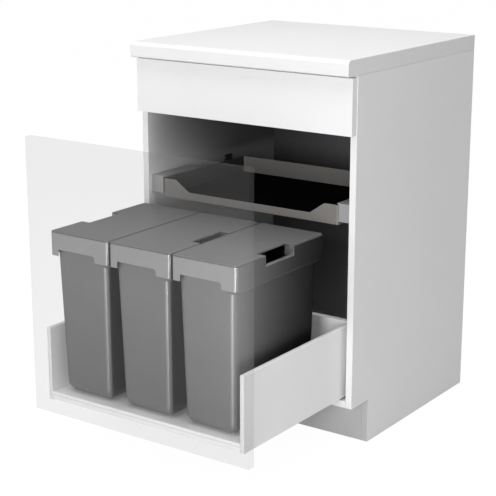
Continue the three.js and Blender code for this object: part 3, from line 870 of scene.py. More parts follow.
def new_object(name: str, mesh: bpy.types.Mesh) -> bpy.types.Object:
    """Links a new object at the origin.

    Args:
        name: The object's name.
        mesh: Its mesh, with its place in its vertices.

    Returns:
        The object.
    """
    made = bpy.data.objects.new(name, mesh)
    bpy.context.scene.collection.objects.link(made)
    return made


def object_from(name: str, shape: bmesh.types.BMesh, smooth: bool = True) -> bpy.types.Object:
    """Turns a bmesh into an object and frees it.

    Args:
        name: The object's name.
        shape: The bmesh.
        smooth: Whether its faces are smooth.

    Returns:
        The object.
    """
    mesh = bpy.data.meshes.new(name)
    for face in shape.faces:
        face.smooth = smooth
    shape.to_mesh(mesh)
    shape.free()
    return new_object(name, mesh)


def settle(piece: bpy.types.Object) -> None:
    """Turns a piece's modifiers into plain mesh.

    Args:
        piece: The piece, whose modifiers are removed.
    """
    bpy.context.view_layer.update()
    graph = bpy.context.evaluated_depsgraph_get()
    evaluated = piece.evaluated_get(graph)
    mesh = bpy.data.meshes.new_from_object(evaluated, preserve_all_data_layers=True, depsgraph=graph)
    piece.modifiers.clear()
    piece.data = mesh


def carve(piece: bpy.types.Object, tool: bpy.types.Object, how: Carve) -> None:
    """Cuts or joins a tool solid, and removes the tool.

    Args:
        piece: The piece.
        tool: The closed solid that cuts or joins.
        how: Which of the two.
    """
    modifier = piece.modifiers.new("carve", "BOOLEAN")
    modifier.operation = how.value
    modifier.solver = "EXACT"
    modifier.object = tool
    settle(piece)
    bpy.data.objects.remove(tool)


def soften(piece: bpy.types.Object, radius: float, segments: int = 2, angle: float = 35.0) -> None:
    """Rounds a piece's sharp edges and evens its shading.

    Args:
        piece: The piece.
        radius: The edge radius in metres.
        segments: Steps across each edge.
        angle: Edges sharper than this many degrees are rounded.
    """
    piece.data.shade_smooth()
    edge = piece.modifiers.new("edge_radius", "BEVEL")
    edge.width = radius
    edge.segments = segments
    edge.limit_method = "ANGLE"
    edge.angle_limit = math.radians(angle)
    edge.miter_outer = "MITER_ARC"
    evened = piece.modifiers.new("flat_faces", "WEIGHTED_NORMAL")
    evened.weight = 100


def weigh(piece: bpy.types.Object, angle: float = 50.0) -> None:
    """Gives flat faces flat shading, and keeps edges sharper than the angle sharp.

    Args:
        piece: The piece.
        angle: The angle in degrees.
    """
    piece.data.shade_smooth()
    piece.data.set_sharp_from_angle(angle=math.radians(angle))
    weighted = piece.modifiers.new("flat_faces", "WEIGHTED_NORMAL")
    weighted.keep_sharp = True
    weighted.weight = 100


def turned_out(shape: bmesh.types.BMesh, merge: float = 1e-6) -> bmesh.types.BMesh:
    """Merges doubles and points the faces outwards.

    Args:
        shape: The bmesh.
        merge: Vertices closer than this become one.

    Returns:
        The same bmesh.
    """
    bmesh.ops.remove_doubles(shape, verts=shape.verts, dist=merge)
    bmesh.ops.recalc_face_normals(shape, faces=shape.faces)
    return shape


def cad_copy(node: str, name: str) -> bpy.types.Object:
    """A merged copy of a CAD node's mesh, with its flat faces whole again.

    Args:
        node: The CAD node.
        name: The copy's name.

    Returns:
        The copy.
    """
    shape = bmesh.new()
    shape.from_mesh(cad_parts[node].data)
    bmesh.ops.remove_doubles(shape, verts=shape.verts, dist=CAD_MERGE)
    bmesh.ops.dissolve_limit(shape, angle_limit=math.radians(0.5), verts=shape.verts, edges=shape.edges)
    return object_from(name, shape)


def block(shape: bmesh.types.BMesh, low: Point, high: Point) -> None:
    """Adds a box to a bmesh.

    Args:
        shape: The bmesh.
        low: The box's lowest corner.
        high: Its highest corner.
    """
    size = Vector(high) - Vector(low)
    middle = (Vector(high) + Vector(low)) / 2
    bmesh.ops.create_cube(shape, size=1.0, matrix=Matrix.Translation(middle) @ Matrix.Diagonal((*size, 1.0)))


def block_object(name: str, low: Point, high: Point) -> bpy.types.Object:
    """A box as an object.

    Args:
        name: Its name.
        low: Its lowest corner.
        high: Its highest corner.

    Returns:
        The object.
    """
    shape = bmesh.new()
    block(shape, low, high)
    return object_from(name, shape, smooth=False)


def bridge(
    shape: bmesh.types.BMesh,
    low: Sequence[bmesh.types.BMVert],
    high: Sequence[bmesh.types.BMVert],
    closed: bool = True,
) -> None:
    """Joins two rows of vertices with faces.

    Args:
        shape: The bmesh.
        low: The first row.
        high: The second row, as long as the first.
        closed: Whether the rows are rings.
    """
    count = len(low)
    for k in range(count if closed else count - 1):
        n = (k + 1) % count
        shape.faces.new((low[k], low[n], high[n], high[k]))


def dress(
    piece: bpy.types.Object,
    body: str,
    material: bpy.types.Material | None,
    replaces: Sequence[str] = (),
) -> None:
    """Gives a piece its material and body, and hides the CAD nodes that it stands for.

    Args:
        piece: The finished piece.
        body: The CAD body that it rides on.
        material: Its material, or None where its mesh has one.
        replaces: CAD nodes that it stands for.
    """
    if material is not None:
        piece.data.materials.clear()
        piece.data.materials.append(material)
    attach(piece, body)
    if replaces:
        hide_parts(*replaces)
    LOG.info("%s on %s, %d faces", piece.name, body, len(piece.data.polygons))


def filleted(
    corners: Sequence[tuple[float, float, float]], steps: int = 5, closed: bool = False
) -> list[Flat]:
    """A polyline with round corners.

    Args:
        corners: Each corner's two coordinates and its radius.
        steps: Segments in each rounded corner.
        closed: Whether the last corner joins the first.

    Returns:
        The points.
    """
    points: list[Flat] = []
    count = len(corners)
    for i, (x, y, radius) in enumerate(corners):
        here = Vector((x, y))
        if radius <= 0 or (not closed and i in (0, count - 1)):
            points.append((x, y))
            continue
        before = (Vector(corners[i - 1][:2]) - here).normalized()
        after = (Vector(corners[(i + 1) % count][:2]) - here).normalized()
        half = before.angle(after) / 2
        reach = radius / math.tan(half)
        centre = here + (before + after).normalized() * (radius / math.sin(half))
        start = here + before * reach - centre
        end = here + after * reach - centre
        turn = start.angle_signed(end)
        for k in range(steps + 1):
            spot = Matrix.Rotation(-turn * k / steps, 2) @ start
            points.append((centre.x + spot.x, centre.y + spot.y))
    return points


# -------------------------------------------------------------------------------- geometry nodes
class GeometryTrees:
    """The geometry trees that make what repeats, or runs along a line."""

    def __init__(self) -> None:
        """Builds the three trees."""
        self.sockets: dict[str, dict[str, str]] = {}
        self.run = self._run()
        self.row = self._row()
        self.studs = self._studs()

    def _tree(self, name: str, inputs: dict[str, str]) -> tuple[Graph, bpy.types.Node]:
        """Starts a tree with a geometry input and output.

        Args:
            name: Its name.
            inputs: Its other inputs' socket types by name.

        Returns:
            The tree's graph and its input node.
        """
        tree = bpy.data.node_groups.new(name, "GeometryNodeTree")
        tree.interface.new_socket(name="Geometry", in_out="INPUT", socket_type="NodeSocketGeometry")
        found = {}
        for label, kind in inputs.items():
            socket = tree.interface.new_socket(name=label, in_out="INPUT", socket_type=kind)
            found[label] = socket.identifier
        tree.interface.new_socket(name="Geometry", in_out="OUTPUT", socket_type="NodeSocketGeometry")
        self.sockets[name] = found
        graph = Graph(tree)
        return graph, graph.node("NodeGroupInput")

    @staticmethod
    def _end(
        graph: Graph, geometry: bpy.types.NodeSocket, finish: bpy.types.NodeSocket
    ) -> bpy.types.NodeTree:
        """Ends a tree in Realize Instances and Set Material.

        Args:
            graph: The tree's graph.
            geometry: What it made.
            finish: The material input.

        Returns:
            The tree.
        """
        real = graph.node("GeometryNodeRealizeInstances", {"Geometry": geometry})
        dressed = graph.node("GeometryNodeSetMaterial", {"Geometry": real.outputs[0], "Material": finish})
        graph.node("NodeGroupOutput", {0: dressed.outputs[0]})
        return graph.tree

    def _run(self) -> bpy.types.NodeTree:
        """A flat outline run along a vector into a closed solid.

        Returns:
            The tree.
        """
        inputs = {"Run": "NodeSocketVector", "Finish": "NodeSocketMaterial"}
        graph, given = self._tree("profile_run", inputs)
        outline = given.outputs["Geometry"]
        flipped = graph.node("GeometryNodeFlipFaces", {0: outline})
        pull = {"Mesh": outline, "Offset": given.outputs["Run"], "Offset Scale": 1.0, "Individual": False}
        extruded = graph.node("GeometryNodeExtrudeMesh", pull)
        joined = graph.node("GeometryNodeJoinGeometry")
        graph.feed(joined.inputs[0], flipped.outputs[0])
        graph.feed(joined.inputs[0], extruded.outputs["Mesh"])
        whole = {"Geometry": joined.outputs[0], "Distance": RUN_MERGE}
        merged = graph.node("GeometryNodeMergeByDistance", whole)
        return self._end(graph, merged.outputs[0], given.outputs["Finish"])

    def _row(self) -> bpy.types.NodeTree:
        """One shape repeated along a line.

        Returns:
            The tree.
        """
        inputs = {"Count": "NodeSocketInt", "Pitch": "NodeSocketVector", "Finish": "NodeSocketMaterial"}
        graph, given = self._tree("repeat_row", inputs)
        spacing = {"Count": given.outputs["Count"], "Offset": given.outputs["Pitch"]}
        line = graph.node("GeometryNodeMeshLine", spacing)
        copies = {"Points": line.outputs[0], "Instance": given.outputs["Geometry"]}
        placed = graph.node("GeometryNodeInstanceOnPoints", copies)
        return self._end(graph, placed.outputs[0], given.outputs["Finish"])

    def _studs(self) -> bpy.types.NodeTree:
        """A screw head on each point, along its aim, with a seeded turn.

        Returns:
            The tree.
        """
        inputs = {"Head": "NodeSocketObject", "Seed": "NodeSocketInt", "Finish": "NodeSocketMaterial"}
        graph, given = self._tree("screw_heads", inputs)
        head = graph.node("GeometryNodeObjectInfo", {"Object": given.outputs["Head"], "As Instance": True})
        aim = graph.node("GeometryNodeInputNamedAttribute", {"Name": "aim"}, data_type="FLOAT_VECTOR")
        aligned = graph.node("FunctionNodeAlignRotationToVector", {"Vector": aim.outputs[0]}, axis="Z")
        angle = graph.node("FunctionNodeRandomValue", {"Seed": given.outputs["Seed"]}, data_type="FLOAT")
        turn = graph.math("MULTIPLY", angle.outputs[1], math.tau)
        spin = graph.node("FunctionNodeAxisAngleToRotation", {"Axis": (0.0, 0.0, 1.0), "Angle": turn})
        turns = {"Rotation": aligned.outputs[0], "Rotate By": spin.outputs[0]}
        turned = graph.node("FunctionNodeRotateRotation", turns, rotation_space="LOCAL")
        heads = {
            "Points": given.outputs["Geometry"],
            "Instance": head.outputs["Geometry"],
            "Rotation": turned.outputs[0],
        }
        placed = graph.node("GeometryNodeInstanceOnPoints", heads)
        return self._end(graph, placed.outputs[0], given.outputs["Finish"])

    def apply(self, piece: bpy.types.Object, tree: bpy.types.NodeTree, **values: object) -> None:
        """Runs a tree on a piece and keeps the plain mesh.

        Args:
            piece: The piece, whose mesh is the tree's input.
            tree: One of the trees.
            values: Its inputs by name.
        """
        modifier = piece.modifiers.new(tree.name, "NODES")
        modifier.node_group = tree
        for label, value in values.items():
            modifier[self.sockets[tree.name][label]] = value
        settle(piece)


TREES = GeometryTrees()


def run_profile(
    name: str, outline: Sequence[Point], run: Point, finish: bpy.types.Material
) -> bpy.types.Object:
    """A solid from a flat outline run along a vector.

    Args:
        name: The piece's name.
        outline: The outline's points in the row frame.
        run: The vector.
        finish: Its material.

    Returns:
        The piece.
    """
    shape = bmesh.new()
    shape.faces.new([shape.verts.new(point) for point in outline])
    piece = object_from(name, shape)
    TREES.apply(piece, TREES.run, Run=run, Finish=finish)
    shape = bmesh.new()
    shape.from_mesh(piece.data)
    turned_out(shape).to_mesh(piece.data)
    shape.free()
    return piece


@dataclass
class ScrewHeads:
    """Pan-head screws with a cross recess, on given points."""

    radius: float = 0.0042
    height: float = 0.0022
    recess: float = 0.0009
    sides: int = 16
    arm: float = 0.42
    core: float = 0.16
    recess_taper: float = 0.8
    dome: tuple[Flat, ...] = ((0.98, 0.0), (1.0, 0.2), (0.9, 0.62), (0.66, 0.9))

    def ring(
        self, shape: bmesh.types.BMesh, reaches: Iterable[float], z: float
    ) -> list[bmesh.types.BMVert]:
        """A level ring of vertices.

        Args:
            shape: The bmesh.
            reaches: Each vertex's distance from the axis, as a share of the radius.
            z: The ring's height.

        Returns:
            The vertices.
        """
        made = []
        for k, reach in enumerate(reaches):
            turn = math.tau * k / self.sides
            place = (self.radius * reach * math.cos(turn), self.radius * reach * math.sin(turn), z)
            made.append(shape.verts.new(place))
        return made

    def head(self) -> bpy.types.Object:
        """One head, its seat at the origin and its top along +Z.

        Returns:
            The head, to be removed after use.
        """
        shape = bmesh.new()
        # The recess's edge and its floor follow a cross with four arms.
        cross = [self.arm if k % 4 == 0 else self.core for k in range(self.sides)]
        rings = [self.ring(shape, [share] * self.sides, self.height * level) for share, level in self.dome]
        rings.append(self.ring(shape, cross, self.height))
        floor = [reach * self.recess_taper for reach in cross]
        rings.append(self.ring(shape, floor, self.height - self.recess))
        for low, high in zip(rings, rings[1:]):
            bridge(shape, low, high)
        shape.faces.new(list(reversed(rings[0])))
        shape.faces.new(rings[-1])
        return object_from("screw_head_pattern", turned_out(shape), smooth=False)

    def field(
        self, name: str, spots: Sequence[Spot], seed: int, finish: bpy.types.Material
    ) -> bpy.types.Object:
        """Heads on spots.

        Args:
            name: The piece's name.
            spots: Each head's seat and the direction that its top faces.
            seed: The seed of the heads' turns.
            finish: Their material.

        Returns:
            The piece.
        """
        mesh = bpy.data.meshes.new(name)
        mesh.from_pydata([spot for spot, _ in spots], [], [])
        aims = mesh.attributes.new("aim", "FLOAT_VECTOR", "POINT")
        aims.data.foreach_set("vector", [value for _, aim in spots for value in aim])
        piece = new_object(name, mesh)
        head = self.head()
        TREES.apply(piece, TREES.studs, Head=head, Seed=seed, Finish=finish)
        bpy.data.objects.remove(head)
        return piece


def rail_screws(stem: str, sheet: float, drop: float, shares: Iterable[float]) -> list[Spot]:
    """Screws through the webs of a pair of rails into the boards beside them.

    Args:
        stem: The rails' CAD nodes, without the hand.
        sheet: The webs' thickness, which the heads stand on.
        drop: How far the screws are below the rails' tops.
        shares: Their places along the rails, from 0 at the front to 1 at the rear.

    Returns:
        Each head's seat and the direction that its top faces.
    """
    spots = []
    for hand in Hand:
        node = f"{stem}_{hand.value}"
        low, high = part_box(node)
        web = hand.outer(node) - hand.sign * sheet
        for share in shares:
            spots.append(((web, low.y + share * (high.y - low.y), high.z - drop), (-hand.sign, 0, 0)))
    return spots


# -------------------------------------------------------------------------------- ringed shells
@dataclass(frozen=True)
class Station:
    """A point's place on a rectangle with round corners, and what lifts or dents it there."""

    along: Flat
    out: Flat
    lift: float = 0.0
    dent: float = 0.0


@dataclass(frozen=True)
class Level:
    """One level ring of a shell."""

    plan: "Plan"
    z: float
    lifted: float = 0.0
    dented: float = 0.0


@dataclass(frozen=True)
class Plan:
    """A rectangle with round corners, seen from above."""

    half_x: float
    half_y: float
    radius: float

    def inset(self, by: float, rounding: float = 1.0) -> "Plan":
        """The rectangle inside this one.

        Args:
            by: How far in.
            rounding: The share of it that the corner radius loses.

        Returns:
            The rectangle.
        """
        return Plan(self.half_x - by, self.half_y - by, self.radius - by * rounding)

    def at(self, z: float, lifted: float = 0.0, dented: float = 0.0) -> Level:
        """This rectangle's level ring at a height."""
        return Level(self, z, lifted, dented)


@dataclass
class RingShell:
    """A closed shell through level rings that share their stations."""

    stations: list[Station]
    centre: Point
    thinnest: float = 0.0002

    def spot(self, station: Station, level: Level) -> Vector:
        """Where a station lies on a level.

        Args:
            station: The station.
            level: The level.

        Returns:
            The point in the row frame.
        """
        plan = level.plan
        radius = max(plan.radius, self.thinnest)
        dent = station.dent * level.dented
        x = station.along[0] * (plan.half_x - radius) + station.out[0] * (radius - dent)
        y = station.along[1] * (plan.half_y - radius) + station.out[1] * (radius - dent)
        z = level.z + station.lift * level.lifted
        return Vector((self.centre[0] + x, self.centre[1] + y, self.centre[2] + z))

    def piece(self, name: str, levels: Sequence[Level], closed: bool = False) -> bpy.types.Object:
        """Builds the shell.

        Args:
            name: The piece's name.
            levels: The levels in order, going up on the outside and down on the inside.
            closed: Whether the last level joins the first, instead of both being capped.

        Returns:
            The piece.
        """
        shape = bmesh.new()
        rings = [[shape.verts.new(self.spot(s, level)) for s in self.stations] for level in levels]
        for low, high in zip(rings, rings[1:]):
            bridge(shape, low, high)
        if closed:
            bridge(shape, rings[-1], rings[0])
        else:
            shape.faces.new(list(reversed(rings[0])))
            shape.faces.new(rings[-1])
        return object_from(name, turned_out(shape, FINE_MERGE))


def corner_angles(steps: int, groove: float) -> list[Flat]:
    """Angles over a quarter turn, with the dent of a groove at its middle.

    Args:
        steps: Even steps over the quarter.
        groove: The groove's half width in degrees, or 0.

    Returns:
        Pairs of an angle in degrees and a dent from 0 to 1.
    """
    angles = [(90.0 * k / steps, 0.0) for k in range(steps + 1)]
    if groove:
        clear, foot = groove * 1.6, groove * 1.35
        angles = [(angle, dent) for angle, dent in angles if abs(angle - 45.0) > clear]
        walls = ((-foot, 0.0), (-groove, 1.0), (groove, 1.0), (foot, 0.0))
        angles += [(45.0 + shift, dent) for shift, dent in walls]
        angles.sort()
    return angles


def stations(
    front: Sequence[Flat] = PLAIN_EDGE,
    rear: Sequence[Flat] = PLAIN_EDGE,
    steps: int = 9,
    groove: float = 0.0,
) -> list[Station]:
    """Stations round a rectangle, anticlockwise from its right side.

    Args:
        front: For the front edge, places from -1 to 1 with their lift.
        rear: The same for the rear edge.
        steps: Steps in each corner.
        groove: The half width of the corner grooves in degrees.

    Returns:
        The stations.
    """
    made: list[Station] = []
    signs = ((1, 1), (-1, 1), (-1, -1), (1, -1))
    for quarter, corner in enumerate(signs):
        for angle, dent in corner_angles(steps, groove):
            turn = math.radians(90.0 * quarter + angle)
            made.append(Station(corner, (math.cos(turn), math.sin(turn)), 0.0, dent))
        if quarter == 0:
            made += [Station((place, 1), (0.0, 1.0), lift) for place, lift in reversed(rear)]
        if quarter == 2:
            made += [Station((place, -1), (0.0, -1.0), lift) for place, lift in front]
    return made


def round_edge(plan: Plan, z: float, edge: float, start: float, steps: int, **rest: float) -> list[Level]:
    """Levels round a quarter of an edge, seen in section.

    Args:
        plan: The face beside the edge.
        z: The height of the edge's own centre.
        edge: The edge's radius, inwards where it is negative.
        start: The quarter's first angle in degrees, from straight out.
        steps: Its steps.
        rest: Lifted and dented, for all levels.

    Returns:
        The levels.
    """
    made = []
    for k in range(steps + 1):
        turn = math.radians(start + 90.0 * k / steps)
        out = abs(edge) * math.cos(turn)
        made.append(plan.inset(edge - out).at(z + abs(edge) * math.sin(turn), **rest))
    return made


def floor_bend(wall: Plan, floor: float, bend: float, steps: int) -> list[Level]:
    """Levels down the bend between an inner wall and its floor.

    Args:
        wall: The wall at the bend's top.
        floor: The floor's height.
        bend: The bend's radius.
        steps: Its steps.

    Returns:
        The levels, from the wall in.
    """
    made = []
    for k in range(1, steps + 1):
        turn = math.radians(90.0 * k / steps)
        pull = bend * (1 - math.cos(turn))
        made.append(wall.inset(pull, 0.5).at(floor + bend * (1 - math.sin(turn))))
    return made


# -------------------------------------------------------------------------------- carcass
@dataclass
class Carcass:
    """Sides, bottom, back, rails, plinth, fascia and its corner blocks."""

    palette: Palette
    edge: float = 0.00025
    screw_clear: float = 0.0001
    band: float = 0.0003

    def build(self) -> None:
        """Builds and dresses the carcass."""
        white = {
            "side_panel_left": "side_board_left",
            "side_panel_right": "side_board_right",
            "bottom_panel": "bottom_board",
            "top_rail_front": "front_rail_board",
            "top_rail_rear": "rear_rail_board",
            "fascia_panel": "fascia_board",
            "fascia_block_left": "corner_block_left",
            "fascia_block_right": "corner_block_right",
        }
        for node, name in white.items():
            self.board(node, name, self.palette.white_board)
        self.board("back_panel", "back_board", self.palette.dark_board)
        self.board("plinth_board", "toe_board", self.palette.plinth_board)
        self.block_screws()
        self.toe_edging()

    def board(self, node: str, name: str, material: bpy.types.Material) -> None:
        """A softened copy of a board.

        Args:
            node: The CAD node.
            name: The piece's name.
            material: Its material.
        """
        piece = cad_copy(node, name)
        soften(piece, self.edge)
        dress(piece, "cabinet", material, [node])

    def toe_edging(self) -> None:
        """Edge bands on the sides' front edges in the toe recess, in the plinth's finish."""
        low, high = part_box("plinth_board")
        shape = bmesh.new()
        for hand in Hand:
            start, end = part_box(f"side_panel_{hand.value}")
            near = (start.x + self.edge, low.y - self.band, self.edge)
            block(shape, near, (end.x - self.edge, low.y, high.z))
        piece = object_from("toe_edging", shape, smooth=False)
        dress(piece, "cabinet", self.palette.plinth_board)

    def block_screws(self) -> None:
        """Screws through the fascia's corner blocks, one into the side and one into the fascia each."""
        spots = []
        for hand in Hand:
            node = f"fascia_block_{hand.value}"
            low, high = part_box(node)
            middle = (low + high) / 2
            drop = (high.z - low.z) / 4
            face = hand.inner(node) - hand.sign * self.screw_clear
            spots.append(((face, middle.y, middle.z + drop), (-hand.sign, 0, 0)))
            spots.append(((middle.x, high.y + self.screw_clear, middle.z - drop), (0, 1, 0)))
        piece = ScrewHeads().field("corner_block_screws", spots, 3, self.palette.zinc)
        dress(piece, "cabinet", None)


@dataclass
class Worktop:
    """The worktop with its postformed front edge, and the screws that hold it."""

    palette: Palette
    top_radius: float = 0.009
    bottom_radius: float = 0.004
    rear_radius: float = 0.0005
    end_edge: float = 0.0003
    steps: int = 9

    def build(self) -> None:
        """Builds the worktop as one outline run across the unit."""
        low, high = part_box("worktop")
        corners = (
            (high.y, low.z, self.rear_radius),
            (high.y, high.z, self.rear_radius),
            (low.y, high.z, self.top_radius),
            (low.y, low.z, self.bottom_radius),
        )
        outline = [(low.x, y, z) for y, z in filleted(corners, self.steps, closed=True)]
        piece = run_profile("worktop_board", outline, (high.x - low.x, 0.0, 0.0), self.palette.worktop)
        soften(piece, self.end_edge, angle=40.0)
        dress(piece, "cabinet", None, ["worktop"])
        for row in ("front", "rear"):
            for hand in Hand:
                repaint(f"worktop_screw_{row}_{hand.value}", self.palette.zinc)


def repaint(node: str, material: bpy.types.Material) -> None:
    """Gives a CAD node that stays a new material.

    Args:
        node: The CAD node.
        material: Its material.
    """
    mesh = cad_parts[node].data
    mesh.materials.clear()
    mesh.materials.append(material)


# -------------------------------------------------------------------------------- drawer
@dataclass
class Drawer:
    """The pull-out: front, folded steel sides, floor, back and their end caps."""

    palette: Palette
    front_edge: float = 0.0012
    board_edge: float = 0.0008
    sheet: float = 0.0015
    sheet_edge: float = 0.0004
    fold: float = 0.0026
    cap: float = 0.0025
    cap_edge: float = 0.0005
    gap: float = 0.0003
    screw_inset: float = 0.035
    screw_rear: float = 0.008

    def build(self) -> None:
        """Builds and dresses the drawer."""
        front = cad_copy("drawer_front", "clear_panel")
        soften(front, self.front_edge, 3)
        dress(front, "drawer", self.palette.clear, ["drawer_front"])
        boards = {
            "drawer_floor": "floor_board",
            "drawer_back": "rear_board",
            "drawer_floor_strip": "floor_strip",
        }
        for node, name in boards.items():
            piece = cad_copy(node, name)
            soften(piece, self.board_edge)
            dress(piece, "drawer", self.palette.drawer_board, [node])
        for hand in Hand:
            self.side(hand)
        self.end_caps()
        self.screws()

    def side(self, hand: Hand) -> None:
        """One folded side, open along its lower edge.

        Args:
            hand: Which side.
        """
        node = f"drawer_side_{hand.value}"
        low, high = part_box(node)
        r, s, e = self.fold, self.sheet, self.sheet_edge
        corners = (
            (low.x, low.z, e),
            (low.x + s, low.z, e),
            (low.x + s, high.z - s, r - s),
            (high.x - s, high.z - s, r - s),
            (high.x - s, low.z, e),
            (high.x, low.z, e),
            (high.x, high.z, r),
            (low.x, high.z, r),
        )
        outline = [(x, low.y, z) for x, z in filleted(corners, closed=True)]
        length = (0.0, high.y - low.y, 0.0)
        piece = run_profile(f"folded_side_{hand.value}", outline, length, self.palette.white_steel)
        weigh(piece, angle=40.0)
        dress(piece, "drawer", None, [node])

    def end_caps(self) -> None:
        """Plugs that close the sides' open ends."""
        shape = bmesh.new()
        for hand in Hand:
            low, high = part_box(f"drawer_side_{hand.value}")
            x0, x1 = low.x + self.sheet + self.gap, high.x - self.sheet - self.gap
            top = high.z - self.sheet - self.gap
            for y0 in (low.y + self.gap, high.y - self.cap - self.gap):
                block(shape, (x0, y0, low.z), (x1, y0 + self.cap, top))
        piece = object_from("side_end_caps", shape, smooth=False)
        soften(piece, self.cap_edge)
        dress(piece, "drawer", self.palette.white_steel)

    def screws(self) -> None:
        """Screws through the sides into the floor and the back."""
        spots = []
        for hand in Hand:
            node = f"drawer_side_{hand.value}"
            low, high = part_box(node)
            for z in (low.z + self.screw_inset, high.z - self.screw_inset):
                spots.append(((hand.outer(node), high.y - self.screw_rear, z), (hand.sign, 0, 0)))
        heads = ScrewHeads(radius=0.0034, height=0.0014, recess=0.0006)
        piece = heads.field("drawer_side_screws", spots, 5, self.palette.zinc)
        dress(piece, "drawer", None)


@dataclass
class Runners:
    """The drawer's runners: cabinet, middle and drawer rails on both sides, with their screws."""

    palette: Palette
    edge: float = 0.0003
    sheet: float = 0.0015
    screw_drop: float = 0.012
    screw_shares: tuple[float, ...] = (0.06, 0.36, 0.66, 0.94)

    def build(self) -> None:
        """Builds and dresses the runners, with the screws that hold the cabinet rails."""
        bodies = {"cabinet_rail": "cabinet", "middle_rail": "middle_rails", "drawer_rail": "drawer"}
        for hand in Hand:
            for member, body in bodies.items():
                node = f"runner_{member}_{hand.value}"
                piece = cad_copy(node, f"rolled_{member}_{hand.value}")
                soften(piece, self.edge, 1)
                dress(piece, body, self.palette.zinc, [node])
        spots = rail_screws("runner_cabinet_rail", self.sheet, self.screw_drop, self.screw_shares)
        heads = ScrewHeads(radius=0.0042, height=0.0018, recess=0.0008)
        piece = heads.field("runner_screws", spots, 7, self.palette.zinc)
        dress(piece, "cabinet", None)


# -------------------------------------------------------------------------------- bins and lids
@dataclass(frozen=True)
class BinShape:
    """Sizes that all bins and lids share, in metres from a bin's bottom and centre."""

    half_x: float = 0.0837
    half_y: float = 0.164
    height: float = 0.376
    wall: float = 0.0025
    collar: float = 0.052
    collar_radius: float = 0.008
    collar_bead: float = 0.0008
    flare: float = 0.0003
    lip: float = 0.0009
    body_radius: float = 0.016
    base_radius: float = 0.028
    recess_in: Flat = (0.009, 0.0075)
    recess_radius: Flat = (0.003, 0.004)
    recess_rise: Flat = (0.0012, 0.0)
    inset_x: float = 0.00975
    inset_y: float = 0.0087
    taper_x: float = 0.006
    taper_y: float = 0.0085
    arch: Flat = (-0.06125, 0.04475)
    arch_rests: Flat = (-0.02, 0.01)
    arch_rise: float = 0.015
    arch_foot: float = 0.004
    arch_radius: float = 0.007
    arch_clear: float = 0.003
    notch_in: float = 0.05925
    notch: Flat = (-0.060, 0.046)
    notch_floor: float = 0.3555
    groove: float = 0.001
    groove_half: float = 9.0
    groove_top: float = 0.004
    web_drop: float = 0.010
    web_rise: float = 0.0006
    overlap: float = 0.001
    clear: float = 0.0004

    @property
    def body_top(self) -> float:
        """The height at which the collar starts."""
        return self.height - self.collar

    @property
    def outer(self) -> Plan:
        """The collar's outer face."""
        return Plan(self.half_x, self.half_y, self.collar_radius)

    def arch_stations(self) -> list[Flat]:
        """Places along a short edge, with the arch's lift.

        Returns:
            Places from -1 to 1 and lifts in metres.
        """
        straight = self.half_x - self.collar_radius
        tiny = 0.00004
        start, end = self.arch
        rests = self.arch_rests
        rise, foot = self.arch_rise, self.arch_foot
        corners = (
            (start - tiny, 0.0, 0.0),
            (start, rise, 0.0),
            (rests[0], rise, 0.0),
            (rests[1], rise, 0.0),
            (end - tiny, rise, self.arch_radius),
            (end, 0.0, foot),
            (end + foot * 1.5, -tiny, 0.0),
        )
        return [(x / straight, z) for x, z in filleted(corners, 6)]

    def body(self, z: float, inset: float = 0.0) -> Plan:
        """The body's outline at a height.

        Args:
            z: The height.
            inset: How far in from the outer face.

        Returns:
            The outline.
        """
        low = min(max((self.body_top - z) / (self.body_top - self.base_radius), 0.0), 1.0)
        half_x = self.half_x - self.inset_x - self.taper_x * low
        half_y = self.half_y - self.inset_y - self.taper_y * low
        return Plan(half_x, half_y, self.body_radius).inset(inset)


